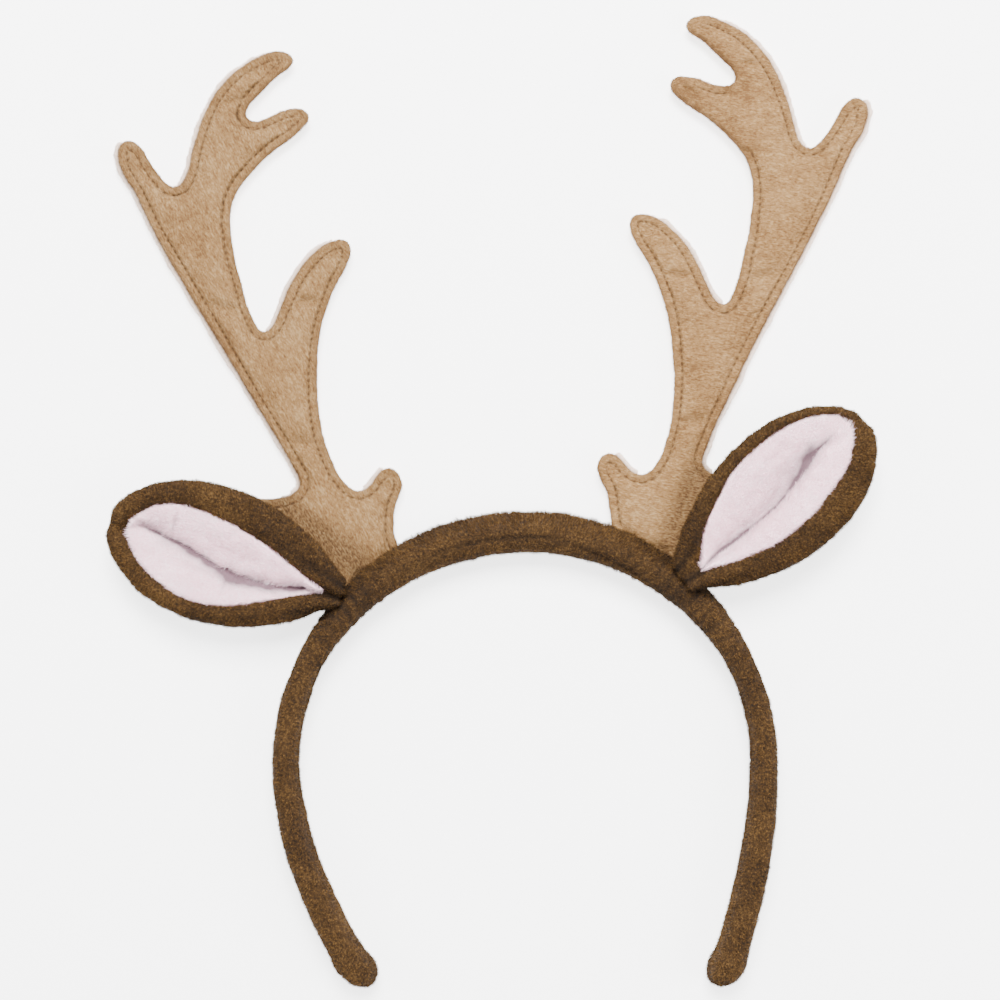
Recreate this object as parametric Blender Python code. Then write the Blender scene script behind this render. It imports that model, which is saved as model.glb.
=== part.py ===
"""Reindeer antler headband, lying on its back.

A hair band covered in plush carries two padded cloth antlers at its rear outer edge and two lined
plush ears sewn over its shoulders.  Lengths are in metres.  +X is to the viewer's right, +Y runs up
the antlers and +Z points at the viewer.  The finished model lies on z = 0, with the middle of its
outline over the origin.
"""

import math

import bmesh
import bpy
from mathutils import Matrix, Vector
from mathutils.geometry import delaunay_2d_cdt, normal

COLLECTION = "reindeer_antler_headband"
SIDES = ("left", "right")
OUTWARD = {"left": -1.0, "right": 1.0}

# Gap kept between pieces that touch on the real headband, and the distance at which points merge.
CLEARANCE = 0.0003
MERGE = 0.00001

# Head band: a half ellipse whose legs curl in towards their tips.
BAND_HALF_WIDTH = 0.0678
BAND_RISE = 0.0655
BAND_DROP = 0.0629
BAND_THICKNESS = 0.0062
BAND_DEPTH = 0.0120
BAND_FRONT_ROUND = 0.0022
BAND_BACK_ROUND = 0.0013
TIP_INSET = {"left": 0.0237, "right": 0.0130}
TIP_CURL = 1.9
BAND_STATIONS = 41
STATION_EVENNESS = 0.55
CORNER_STEPS = 3
CORNER_LIMIT = 0.42

# Sections from a leg's tip (run 0) to the crown (run 1).  Outer and inner are the cover's reach to
# each side of the centreline as shares of BAND_THICKNESS, depth is a share of BAND_DEPTH, and tilt
# in degrees turns the band's outer face towards the viewer.
BAND_SECTIONS = (
    # run, outer, inner, depth, tilt
    (0.000, 0.10, 0.34, 0.60, 0.0),
    (0.008, 0.34, 0.56, 0.84, 0.0),
    (0.021, 0.54, 0.72, 0.97, 0.0),
    (0.034, 0.64, 0.62, 1.00, 0.0),
    (0.046, 0.72, 0.54, 1.00, 0.0),
    (0.058, 0.60, 0.50, 0.96, 0.0),
    (0.080, 0.53, 0.50, 0.98, 0.0),
    (0.150, 0.52, 0.50, 1.00, 0.0),
    (0.250, 0.50, 0.49, 1.00, 0.0),
    (0.366, 0.46, 0.46, 1.00, 0.0),
    (0.480, 0.46, 0.46, 1.00, 0.0),
    (0.560, 0.46, 0.46, 1.00, 4.0),
    (0.650, 0.50, 0.52, 1.00, 16.0),
    (0.750, 0.52, 0.56, 1.00, 24.0),
    (0.860, 0.54, 0.64, 1.00, 28.0),
    (1.000, 0.54, 0.66, 1.00, 29.0),
)

# Antlers: two flat cloth panels each, sewn together a little inside the edge.
ANTLER_HEIGHT = {"left": 0.1517, "right": 0.1567}
ANTLER_SEAT = {"left": 49.0, "right": 58.2}
ANTLER_STANDOFF = {"left": 0.0030, "right": 0.0}
ANTLER_LEAN = {"left": 3.7, "right": 0.0}
ANTLER_BOW = {"left": 0.0031, "right": 0.0}
BASE_SPREAD = 10.5
BASE_TUCK = 0.0015
PANEL_PAD = 0.0026
PANEL_MARGIN = 0.0012
PANEL_SEAM = 0.0009
SEAM_INSET = 0.0023
SHOULDER_INSET = 0.0043
PANEL_GRID = 0.0050
GRID_MARGIN = 0.3
RIDGE_INSET = 0.93
RIDGE_APART = 0.5
BACK_PANEL_SHOWS = 0.0006

# Outline of an antler from the inner side of its base, round its tines and down to the outer side.
# Across (outward) and up are percentages of the antler's height, from its foot on the band.
ANTLER_OUTLINE = (
    # across, up
    (-7.1, 8.0),
    (-8.0, 13.6),
    (-9.5, 16.7),
    (-9.1, 19.6),
    (-6.9, 20.4),
    (-4.0, 17.6),
    (-1.6, 16.5),
    (0.7, 18.0),
    (2.9, 22.7),
    (4.2, 30.0),
    (4.0, 39.1),
    (2.4, 48.2),
    (-0.9, 55.8),
    (-3.5, 60.5),
    (-3.3, 63.3),
    (-0.9, 63.8),
    (3.3, 61.5),
    (7.6, 56.4),
    (10.5, 50.4),
    (12.0, 48.0),
    (13.3, 47.5),
    (14.5, 48.5),
    (16.9, 56.4),
    (18.4, 64.5),
    (18.2, 71.8),
    (16.0, 75.8),
    (10.0, 81.5),
    (4.7, 85.3),
    (3.6, 87.5),
    (5.5, 88.9),
    (10.4, 87.8),
    (13.8, 87.1),
    (15.4, 88.4),
    (13.1, 91.8),
    (9.1, 95.6),
    (6.5, 98.0),
    (8.5, 99.8),
    (13.1, 98.9),
    (19.1, 94.9),
    (23.3, 88.5),
    (25.8, 80.9),
    (27.1, 76.9),
    (28.7, 75.8),
    (30.4, 76.5),
    (33.8, 81.3),
    (36.9, 84.9),
    (39.3, 83.6),
    (36.4, 75.5),
    (29.1, 60.0),
    (21.5, 45.5),
    (13.6, 29.6),
    (10.0, 21.5),
    (9.3, 18.7),
    (10.7, 16.9),
    (15.5, 16.2),
    (20.7, 15.8),
    (21.5, 14.2),
    (17.3, 10.9),
    (11.8, 7.3),
    (8.7, 3.6),
)
OUTLINE_STEPS = 2

# Ears: a cupped plush shell with a long fold and a pale lining set inside its rim.
EAR_LENGTH = {"left": 0.0679, "right": 0.0676}
EAR_HALF_WIDTH = {"left": 0.0190, "right": 0.0181}
EAR_SEAT = {"left": 43.8, "right": 50.9}
EAR_STANDOFF = {"left": 0.0038, "right": 0.0017}
EAR_HEADING = {"left": 17.4, "right": 40.4}
EAR_WALL = 0.0020
EAR_LINING = 0.0018
EAR_CLEAR_OF_ANTLER = 0.0005
UPPER_CREST = {"left": 0.0122, "right": 0.0098}
LOWER_CREST = {"left": 0.0100, "right": 0.0120}
RIM_STEP = 0.0010
BACK_CUPPING = 0.45
RIM_FOOT = 0.25
EAR_TIP_LIFT = 0.0120
LINING_REACH = 0.8
LINING_RAISE = 0.0060
SHARP_ANGLE = 40.0

# Leaf outline of an ear along its length: half width as a share of EAR_HALF_WIDTH, the rim's
# height as a share of its crest, and how far the back lifts, as a share of EAR_TIP_LIFT.
EAR_LEAF = (
    # along, width, crest, lift
    (0.00, 0.24, 0.84, 0.00),
    (0.05, 0.37, 0.88, 0.00),
    (0.10, 0.48, 0.92, 0.00),
    (0.20, 0.69, 0.96, 0.00),
    (0.30, 0.85, 1.00, 0.00),
    (0.40, 0.95, 1.00, 0.00),
    (0.50, 1.00, 1.00, 0.00),
    (0.60, 1.01, 1.00, 0.00),
    (0.70, 0.97, 0.97, 0.01),
    (0.80, 0.86, 0.92, 0.03),
    (0.90, 0.65, 0.84, 0.10),
    (0.95, 0.49, 0.78, 0.14),
    (0.98, 0.35, 0.72, 0.18),
    (1.00, 0.20, 0.66, 0.22),
)

# Where the lining meets the rim and where it folds, as shares of EAR_HALF_WIDTH from the ear's
# middle line, upwards positive, and how deep the fold is as a share of the way to the back wall.
EAR_INSIDE = {
    "left": (
        # along, upper, lower, fold, depth
        (0.00, 0.10, -0.10, 0.00, 0.00),
        (0.08, 0.08, -0.08, 0.00, 0.10),
        (0.15, 0.11, -0.16, -0.03, 0.60),
        (0.20, 0.15, -0.26, -0.06, 0.85),
        (0.30, 0.30, -0.43, -0.09, 1.00),
        (0.40, 0.42, -0.60, -0.07, 1.00),
        (0.50, 0.50, -0.73, -0.03, 1.00),
        (0.60, 0.56, -0.73, 0.02, 1.00),
        (0.70, 0.57, -0.66, 0.08, 1.00),
        (0.80, 0.49, -0.50, 0.10, 0.90),
        (0.87, 0.33, -0.32, 0.08, 0.60),
        (0.93, 0.10, -0.10, 0.01, 0.10),
        (1.00, 0.05, -0.05, 0.00, 0.00),
    ),
    "right": (
        # along, upper, lower, fold, depth
        (0.00, 0.10, -0.10, 0.00, 0.00),
        (0.08, 0.08, -0.09, -0.01, 0.10),
        (0.15, 0.19, -0.20, -0.02, 0.60),
        (0.20, 0.36, -0.28, -0.04, 0.85),
        (0.30, 0.55, -0.41, -0.07, 1.00),
        (0.40, 0.71, -0.50, -0.08, 1.00),
        (0.50, 0.82, -0.55, -0.06, 1.00),
        (0.60, 0.87, -0.54, -0.01, 1.00),
        (0.70, 0.87, -0.48, 0.09, 1.00),
        (0.80, 0.76, -0.37, 0.14, 0.90),
        (0.87, 0.60, -0.22, 0.18, 0.60),
        (0.93, 0.32, 0.06, 0.20, 0.10),
        (1.00, 0.05, -0.05, 0.00, 0.00),
    ),
}
LINING_START = 0.09
LINING_END = 0.93
# Across a rim, from the ear's edge to the lining: share of the way, rise to the crest, and how much
# of RIM_STEP it has dropped there.
RIM_STEPS = ((0.0, 0.0, 0.0), (0.16, 0.62, 0.0), (0.50, 1.0, 0.0), (0.85, 1.0, 0.35), (1.0, 1.0, 1.0))
# Shares of a lobe, from the rim to the fold, and how far the lobe has sunk there.
LOBE_STEPS = ((0.25, 0.05), (0.50, 0.20), (0.72, 0.46), (0.90, 0.80))
EAR_ALONG = (0.0, 0.035, 0.07, 0.12, 0.18, 0.25, 0.33, 0.42, 0.51, 0.60, 0.69, 0.77, 0.84, 0.89,
             0.95, 0.985, 1.0)
BACK_STEPS = (-0.94, -0.72, -0.38, 0.0, 0.38, 0.72, 0.94)

MATERIALS = {
    # slot: colour, roughness
    "brown_plush": ((0.110, 0.055, 0.020, 1.0), 0.95),
    "pink_plush": ((0.820, 0.720, 0.750, 1.0), 0.95),
    "beige_plush": ((0.560, 0.380, 0.230, 1.0), 0.92),
}


def rows_at(rows, place):
    """Smooth values of a table's columns at a place in its first column."""
    if place <= rows[0][0]:
        return rows[0][1:]
    if place >= rows[-1][0]:
        return rows[-1][1:]
    last = next(i for i, row in enumerate(rows) if row[0] >= place)
    before, after = rows[last - 1], rows[last]
    gap = after[0] - before[0]
    share = (place - before[0]) / gap
    values = []
    for column in range(1, len(before)):
        slopes = []
        for index in (last - 1, last):
            low = rows[max(index - 1, 0)]
            high = rows[min(index + 1, len(rows) - 1)]
            slopes.append((high[column] - low[column]) / (high[0] - low[0]) * gap)
        value = (
            before[column] * (1 + 2 * share) * (1 - share) ** 2
            + after[column] * share ** 2 * (3 - 2 * share)
            + slopes[0] * share * (1 - share) ** 2
            - slopes[1] * share ** 2 * (1 - share)
        )
        values.append(value)
    return values


def leg_share():
    """Share of a half band's run that lies below the arch."""
    arch_run = math.pi / 4 * (BAND_HALF_WIDTH + BAND_RISE)
    return BAND_DROP / (BAND_DROP + arch_run)


def band_point(side, run):
    """Centreline point of the band and its outward direction, from a tip (0) to the crown (1)."""
    leg = leg_share()
    if run < leg:
        down = 1 - run / leg
        point = Vector((BAND_HALF_WIDTH - TIP_INSET[side] * down ** TIP_CURL, -BAND_DROP * down, 0))
        slope = TIP_INSET[side] * TIP_CURL * down ** (TIP_CURL - 1) / BAND_DROP
        outward = Vector((1, -slope, 0)).normalized()
    else:
        point, outward = arch_point(90 * (run - leg) / (1 - leg))
    point.x *= OUTWARD[side]
    outward.x *= OUTWARD[side]
    return point, outward


def arch_point(degrees):
    """Centreline point and outward direction of the right half of the arch, 0 at its spring."""
    angle = math.radians(degrees)
    point = Vector((BAND_HALF_WIDTH * math.cos(angle), BAND_RISE * math.sin(angle), 0))
    outward = Vector((BAND_RISE * math.cos(angle), BAND_HALF_WIDTH * math.sin(angle), 0))
    return point, outward.normalized()


def seat(side, degrees):
    """Centreline point of the arch where something is sewn on, and its outward direction."""
    point, outward = arch_point(degrees)
    point.x *= OUTWARD[side]
    outward.x *= OUTWARD[side]
    return point, outward


def band_section(outer, inner, depth, grow):
    """Rounded section as (outward, height) pairs about the centreline."""
    width = outer + inner
    corners = (
        (outer, depth / 2, BAND_FRONT_ROUND, 0),
        (-inner, depth / 2, BAND_FRONT_ROUND, 90),
        (-inner, -depth / 2, BAND_BACK_ROUND, 180),
        (outer, -depth / 2, BAND_BACK_ROUND, 270),
    )
    points = []
    for across, height, corner_round, start in corners:
        radius = min(corner_round, CORNER_LIMIT * width)
        centre_across = across - math.copysign(radius, across + inner - width / 2)
        centre_height = height - math.copysign(radius, height)
        for step in range(CORNER_STEPS + 1):
            angle = math.radians(start + 90 * step / CORNER_STEPS)
            reach = radius + grow
            points.append((centre_across + reach * math.cos(angle),
                           centre_height + reach * math.sin(angle)))
    return points


def turned(points, degrees):
    """Section points turned so that the outer face looks towards the viewer."""
    cosine = math.cos(math.radians(degrees))
    sine = math.sin(math.radians(degrees))
    return [(across * cosine - height * sine, across * sine + height * cosine)
            for across, height in points]


def band_profile(run):
    """Outer reach, inner reach, depth and tilt of the band at a run."""
    outer, inner, depth, tilt = rows_at(BAND_SECTIONS, run)
    return outer * BAND_THICKNESS, inner * BAND_THICKNESS, depth * BAND_DEPTH, tilt


def band_reach(degrees):
    """How far the band reaches outward of its centreline at an angle of the arch."""
    leg = leg_share()
    outer, inner, depth, tilt = band_profile(leg + (1 - leg) * degrees / 90)
    return max(across for across, _ in turned(band_section(outer, inner, depth, 0.0), tilt))


def band_rings(grow=0.0):
    """Rings of the band from the left tip over the crown to the right tip."""
    stations = []
    for step in range(BAND_STATIONS):
        share = step / (BAND_STATIONS - 1)
        stations.append(STATION_EVENNESS * share + (1 - STATION_EVENNESS) * share ** 2)
    route = [("left", run) for run in stations] + [("right", run) for run in reversed(stations[:-1])]
    rings = []
    for side, run in route:
        outer, inner, depth, tilt = band_profile(run)
        floor = min(height for _, height in turned(band_section(outer, inner, depth, 0.0), tilt))
        point, outward = band_point(side, run)
        ring = []
        for across, height in turned(band_section(outer, inner, depth, grow), tilt):
            ring.append(point + outward * across + Vector((0, 0, height - floor)))
        rings.append(ring)
    return rings


def filled(ring):
    """Triangles, as indices, that fill a flat ring of points."""
    facing = normal(ring)
    right = facing.orthogonal().normalized()
    up = facing.cross(right)
    flat = [Vector((point.dot(right), point.dot(up))) for point in ring]
    edges = [(index, (index + 1) % len(ring)) for index in range(len(ring))]
    return delaunay_2d_cdt(flat, edges, [], 1, MERGE)[2]


def loft(name, rings):
    """Closed mesh object through rings of equal counts, with both ends filled."""
    mesh = bpy.data.meshes.new(name)
    shape = bmesh.new()
    loops = [[shape.verts.new(point) for point in ring] for ring in rings]
    for first, second in zip(loops, loops[1:]):
        for index, vertex in enumerate(first):
            after = (index + 1) % len(first)
            shape.faces.new((vertex, first[after], second[after], second[index]))
    for loop in (loops[0], loops[-1]):
        for triangle in filled([vertex.co for vertex in loop]):
            shape.faces.new([loop[index] for index in triangle])
    bmesh.ops.triangulate(shape, faces=shape.faces[:])
    bmesh.ops.recalc_face_normals(shape, faces=shape.faces[:])
    shape.to_mesh(mesh)
    shape.free()
    return bpy.data.objects.new(name, mesh)


def antler_outline(side, shift):
    """Smooth closed outline of an antler in the plane, as 2D points."""
    foot, outward = seat(side, ANTLER_SEAT[side])
    foot += outward * ANTLER_STANDOFF[side]
    height = ANTLER_HEIGHT[side]
    lean = math.radians(ANTLER_LEAN[side])
    places = []
    for across, up in ANTLER_OUTLINE:
        sideways = across / 100 * height + ANTLER_BOW[side] * math.sin(math.pi * up / 100)
        upwards = up / 100 * height
        leaned_across = sideways * math.cos(lean) + upwards * math.sin(lean)
        leaned_up = upwards * math.cos(lean) - sideways * math.sin(lean)
        places.append((foot.x + OUTWARD[side] * (leaned_across + shift), foot.y + leaned_up, 0))
    for degrees in (-BASE_SPREAD, 0.0, BASE_SPREAD):
        point, outward = seat(side, ANTLER_SEAT[side] + degrees)
        places.append(point + outward * (band_reach(ANTLER_SEAT[side] + degrees) - BASE_TUCK))
    curve = bpy.data.curves.new("antler_outline", "CURVE")
    curve.dimensions = "2D"
    curve.resolution_u = OUTLINE_STEPS
    spline = curve.splines.new("BEZIER")
    spline.bezier_points.add(len(places) - 1)
    spline.use_cyclic_u = True
    for knot, place in zip(spline.bezier_points, places):
        knot.co = place
        knot.handle_left_type = "AUTO"
        knot.handle_right_type = "AUTO"
    drawn = bpy.data.objects.new("antler_outline", curve)
    bpy.context.scene.collection.objects.link(drawn)
    bpy.context.view_layer.update()
    evaluated = drawn.evaluated_get(bpy.context.evaluated_depsgraph_get())
    flat = bpy.data.meshes.new_from_object(evaluated)
    outline = [vertex.co.xy.copy() for vertex in flat.vertices]
    bpy.data.meshes.remove(flat)
    bpy.data.objects.remove(drawn)
    bpy.data.curves.remove(curve)
    return outline


def to_edge(point, outline):
    """Distance from a point to a closed outline."""
    nearest = math.inf
    for start, end in zip(outline, outline[1:] + outline[:1]):
        along = end - start
        share = max(0.0, min(1.0, (point - start).dot(along) / along.length_squared))
        nearest = min(nearest, (point - start - along * share).length)
    return nearest


def inside(point, outline):
    """Whether a point lies within a closed outline."""
    crossings = 0
    for start, end in zip(outline, outline[1:] + outline[:1]):
        if (start.y > point.y) != (end.y > point.y):
            if point.x < start.x + (end.x - start.x) * (point.y - start.y) / (end.y - start.y):
                crossings += 1
    return crossings % 2 == 1


def pad_height(distance):
    """Thickness of a panel at a distance from its edge: margin, sewn-down seam, padded middle."""
    if distance >= SHOULDER_INSET:
        return PANEL_PAD
    if distance <= SEAM_INSET:
        return PANEL_MARGIN + (PANEL_SEAM - PANEL_MARGIN) * distance / SEAM_INSET
    rise = (distance - SEAM_INSET) / (SHOULDER_INSET - SEAM_INSET)
    return PANEL_SEAM + (PANEL_PAD - PANEL_SEAM) * math.sin(rise * math.pi / 2)


def pad_points(outline):
    """Points of the seam, the shoulder and the middle of a panel."""
    points = []
    for inset, every in ((SEAM_INSET, 1), (SHOULDER_INSET, 2)):
        for index in range(0, len(outline), every):
            before, here, after = outline[index - 1], outline[index], outline[(index + 1) % len(outline)]
            tangent = (after - before).normalized()
            for turn in (1.0, -1.0):
                point = here + Vector((-tangent.y, tangent.x)) * inset * turn
                if inside(point, outline) and to_edge(point, outline) > RIDGE_INSET * inset:
                    if all((point - other).length > RIDGE_APART * inset for other in points[-3:]):
                        points.append(point)
    low_x, high_x = min(p.x for p in outline), max(p.x for p in outline)
    low_y, high_y = min(p.y for p in outline), max(p.y for p in outline)
    for row in range(1, math.ceil((high_y - low_y) / PANEL_GRID)):
        for column in range(1, math.ceil((high_x - low_x) / PANEL_GRID)):
            point = Vector((low_x + column * PANEL_GRID, low_y + row * PANEL_GRID))
            clear = SHOULDER_INSET + GRID_MARGIN * PANEL_GRID
            if inside(point, outline) and to_edge(point, outline) > clear:
                points.append(point)
    return points


def antler_panel(name, side, facing, shift):
    """Padded cloth panel with its flat side on the antler's middle plane, facing up (1) or down."""
    outline = antler_outline(side, shift)
    rim = len(outline)
    edges = [(index, (index + 1) % rim) for index in range(rim)]
    flat, _, triangles, _, _, _ = delaunay_2d_cdt(outline + pad_points(outline), edges, [], 1, MERGE)
    _, _, plain_triangles, _, _, _ = delaunay_2d_cdt(outline, edges, [], 1, MERGE)
    middle = PANEL_PAD + CLEARANCE / 2
    seat_height = middle + facing * CLEARANCE / 2
    shape = bmesh.new()
    padded = []
    for index, point in enumerate(flat):
        distance = 0.0 if index < rim else to_edge(point, outline)
        padded.append(shape.verts.new((point.x, point.y, seat_height + facing * pad_height(distance))))
    plain = [shape.verts.new((point.x, point.y, seat_height)) for point in flat[:rim]]
    for triangle in triangles:
        shape.faces.new([padded[index] for index in triangle])
    for triangle in plain_triangles:
        shape.faces.new([plain[index] for index in reversed(triangle)])
    for index in range(rim):
        after = (index + 1) % rim
        shape.faces.new((padded[index], padded[after], plain[after], plain[index]))
    bmesh.ops.triangulate(shape, faces=[face for face in shape.faces if len(face.verts) > 3])
    bmesh.ops.recalc_face_normals(shape, faces=shape.faces[:])
    mesh = bpy.data.meshes.new(name)
    shape.to_mesh(mesh)
    shape.free()
    return bpy.data.objects.new(name, mesh)


def ear_heights(side, along):
    """Heights of the ear's back, upper crest and lower crest at a share of its length."""
    _, crest, lift = rows_at(EAR_LEAF, along)
    floor = 2 * PANEL_PAD + CLEARANCE + EAR_CLEAR_OF_ANTLER
    back = floor + lift * EAR_TIP_LIFT
    return back, floor + crest * UPPER_CREST[side], floor + crest * LOWER_CREST[side]


def back_height(side, along, across):
    """Height of the ear's rounded back at a share of its half width."""
    back, upper, lower = ear_heights(side, along)
    edge = upper if across > 0 else lower
    return back + BACK_CUPPING * (edge - back) * across ** 2


def ear_front(side, along):
    """Front of an ear across its width, from the upper edge to the lower, with the lining's share.

    Returns the points as (across, height), the index of the lining's first point and of its last.
    """
    half = EAR_HALF_WIDTH[side] * rows_at(EAR_LEAF, along)[0]
    upper, lower, fold, depth = rows_at(EAR_INSIDE[side], along)
    widest = EAR_HALF_WIDTH[side] * max(upper, -lower)
    width = EAR_HALF_WIDTH[side] * min(1.0, LINING_REACH * half / widest)
    upper, lower, fold = upper * width, lower * width, fold * width
    _, upper_crest, lower_crest = ear_heights(side, along)
    valley = back_height(side, along, fold / half) + EAR_WALL + CLEARANCE + EAR_LINING
    brim = (upper_crest + lower_crest) / 2 - RIM_STEP
    valley = brim + depth * (min(valley, brim) - brim)

    def half_front(edge, rim, crest):
        lowest = back_height(side, along, 0)
        outermost = back_height(side, along, edge / half) + RIM_FOOT * (crest - lowest)
        points = []
        for share, rise, sunk in RIM_STEPS:
            height = outermost + rise * (crest - outermost) - sunk * RIM_STEP
            points.append((edge + share * (rim - edge), height))
        for share, sunk in LOBE_STEPS:
            drop = sunk * (crest - RIM_STEP - valley)
            points.append((rim + share * (fold - rim), crest - RIM_STEP - drop))
        return points

    above = half_front(half, upper, upper_crest)
    below = half_front(-half, lower, lower_crest)
    first = len(RIM_STEPS) - 1
    front = above + [(fold, valley)] + below[::-1]
    return front, first, len(front) - 1 - first


def ear_place(side):
    """Matrix that puts an ear's frame (along, across, height) on the band's shoulder."""
    point, outward = seat(side, EAR_SEAT[side])
    base = point + outward * EAR_STANDOFF[side]
    heading = math.radians(EAR_HEADING[side])
    along = Vector((OUTWARD[side] * math.cos(heading), math.sin(heading), 0))
    across = Vector((-OUTWARD[side] * math.sin(heading), math.cos(heading), 0))
    frame = Matrix((along, across, Vector((0, 0, 1)))).transposed().to_4x4()
    return Matrix.Translation(base) @ frame


def ear_ring(side, along, points):
    """Section points of an ear as places in the model."""
    place = ear_place(side)
    return [place @ Vector((along * EAR_LENGTH[side], across, height)) for across, height in points]


def ear_shell(side):
    """Cupped shell of an ear, solid between its back and its front."""
    rings = []
    for along in EAR_ALONG:
        front, _, _ = ear_front(side, along)
        half = front[0][0]
        back = [(share * half, back_height(side, along, share)) for share in BACK_STEPS]
        rings.append(ear_ring(side, along, front + back))
    return loft(f"ear_{side}_shell", rings)


def ear_lining(name, side, grow=0.0, raised=0.0):
    """Lining of an ear, or the hollow that it leaves when it is grown and its front is raised."""
    slack = grow / EAR_LENGTH[side]
    between = [along for along in EAR_ALONG if LINING_START < along < LINING_END]
    rings = []
    for along in [LINING_START - slack] + between + [LINING_END + slack]:
        front, first, last = ear_front(side, along)
        cup = front[first:last + 1]
        sheet = []
        for index, (across, height) in enumerate(cup):
            widened = across
            if index == 0:
                widened += grow
            if index == len(cup) - 1:
                widened -= grow
            sheet.append((widened, height + raised))
        under = [(across, height - raised - EAR_LINING - grow) for across, height in reversed(sheet)]
        rings.append(ear_ring(side, along, sheet + under))
    return loft(name, rings)


def cut_by(piece, cutter):
    """Take a cutter's shape out of a piece."""
    cut = piece.modifiers.new(f"clear_of_{cutter.name}", "BOOLEAN")
    cut.operation = "DIFFERENCE"
    cut.solver = "EXACT"
    cut.object = cutter


def paint(piece, slot, materials):
    """Give a piece its material and its place in the model's collection."""
    piece.data.materials.clear()
    piece.data.materials.append(materials[slot])
    piece.data.shade_smooth()
    piece.data.set_sharp_from_angle(angle=math.radians(SHARP_ANGLE))


def make_materials():
    """Principled materials of the three plush cloths."""
    made = {}
    for slot, (colour, roughness) in MATERIALS.items():
        material = bpy.data.materials.new(slot)
        material.use_nodes = True
        surface = material.node_tree.nodes["Principled BSDF"]
        surface.inputs["Base Color"].default_value = colour
        surface.inputs["Roughness"].default_value = roughness
        surface.inputs["Metallic"].default_value = 0.0
        material.diffuse_color = colour
        made[slot] = material
    return made


def make_collection(name):
    """New collection linked to the scene."""
    collection = bpy.data.collections.new(name)
    bpy.context.scene.collection.children.link(collection)
    return collection


def add_cutter(cutter, cutters):
    """Keep a cutting shape out of sight in the cutters' collection."""
    cutters.objects.link(cutter)
    cutter.hide_render = True
    cutter.display_type = "WIRE"
    return cutter


def middle_of(pieces):
    """Middle of the outline of all pieces as evaluated, in the plane."""
    bpy.context.view_layer.update()
    graph = bpy.context.evaluated_depsgraph_get()
    corners = []
    for piece in pieces:
        seen = piece.evaluated_get(graph)
        corners += [seen.matrix_world @ Vector(corner) for corner in seen.bound_box]
    low = Vector(min(corner[axis] for corner in corners) for axis in range(3))
    high = Vector(max(corner[axis] for corner in corners) for axis in range(3))
    return Vector(((low.x + high.x) / 2, (low.y + high.y) / 2, low.z))


def main():
    for old in list(bpy.data.objects):
        bpy.data.objects.remove(old)
    model = make_collection(COLLECTION)
    cutters = make_collection("cutters")
    materials = make_materials()

    band_space = add_cutter(loft("band_space", band_rings(CLEARANCE)), cutters)
    pieces = {"headband": ("brown_plush", loft("headband", band_rings()))}
    for side in SIDES:
        front = antler_panel(f"antler_{side}_front", side, 1.0, 0.0)
        back = antler_panel(f"antler_{side}_back", side, -1.0, BACK_PANEL_SHOWS)
        shell = ear_shell(side)
        lining = ear_lining(f"ear_{side}_lining", side)
        hollow = ear_lining(f"ear_{side}_hollow", side, CLEARANCE, LINING_RAISE)
        add_cutter(hollow, cutters)
        for piece in (front, back, shell):
            cut_by(piece, band_space)
        cut_by(shell, hollow)
        pieces[front.name] = ("beige_plush", front)
        pieces[back.name] = ("beige_plush", back)
        pieces[shell.name] = ("brown_plush", shell)
        pieces[lining.name] = ("pink_plush", lining)

    for slot, piece in pieces.values():
        model.objects.link(piece)
        paint(piece, slot, materials)
    middle = middle_of([piece for _, piece in pieces.values()])
    for item in list(model.objects) + list(cutters.objects):
        item.location -= middle


if __name__ == "__main__":
    main()
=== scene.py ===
"""Reindeer antler headband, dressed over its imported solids.

Plush, felted nap, topstitching and folds are built here on copies of the solids, so that every
piece stays where the solid that it stands for is.
"""

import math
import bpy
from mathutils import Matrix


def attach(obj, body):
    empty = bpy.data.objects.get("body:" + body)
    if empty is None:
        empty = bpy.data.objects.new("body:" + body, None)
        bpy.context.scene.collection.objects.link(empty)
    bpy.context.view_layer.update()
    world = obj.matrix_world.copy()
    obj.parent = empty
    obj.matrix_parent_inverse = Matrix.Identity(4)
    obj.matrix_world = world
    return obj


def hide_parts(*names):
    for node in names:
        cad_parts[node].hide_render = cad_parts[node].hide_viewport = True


bl_info = {
    "name": "Reindeer antler headband",
    "version": (1, 0, 0),
    "blender": (4, 5, 0),
    "location": "3D View > Sidebar > Headband",
    "description": "Builds a plush headband with cloth antlers and lined ears",
    "category": "Object",
}

import bmesh
import bpy
import numpy as np
from mathutils import Vector, noise

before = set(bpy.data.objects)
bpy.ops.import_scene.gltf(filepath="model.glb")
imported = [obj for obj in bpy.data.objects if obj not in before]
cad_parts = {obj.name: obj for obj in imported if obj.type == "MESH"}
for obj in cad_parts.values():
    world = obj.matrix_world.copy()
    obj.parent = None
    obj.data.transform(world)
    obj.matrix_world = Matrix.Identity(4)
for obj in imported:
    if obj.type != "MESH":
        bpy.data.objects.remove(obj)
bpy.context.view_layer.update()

MM = 0.001
SIDES = ("left", "right")
OUTWARD = {"left": -1.0, "right": 1.0}

# The arch of the band in the frame: its middle, half width and rise.
ARCH_MIDDLE = Vector((0.00955, -0.07440, 0.0))
ARCH_HALF_WIDTH = 0.0678
ARCH_RISE = 0.0655

# Where the flat sides of an antler's two cloths lie, and which way each cloth faces.
ANTLER_PLAIN = {"front": 0.0029, "back": 0.0026}
ANTLER_FACING = {"front": 1.0, "back": -1.0}

# Where each ear starts on the arch, in degrees, how far outside its centreline, its heading in
# degrees, its length, and how much narrower the gathers draw its base, as a share.
EAR_SEAT = {"left": 43.8, "right": 50.9}
EAR_STANDOFF = {"left": 0.0038, "right": 0.0017}
EAR_HEADING = {"left": 17.4, "right": 40.4}
EAR_LENGTH = {"left": 0.0679, "right": 0.0676}
EAR_PINCH = {"left": 0.22, "right": 0.06}

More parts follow.
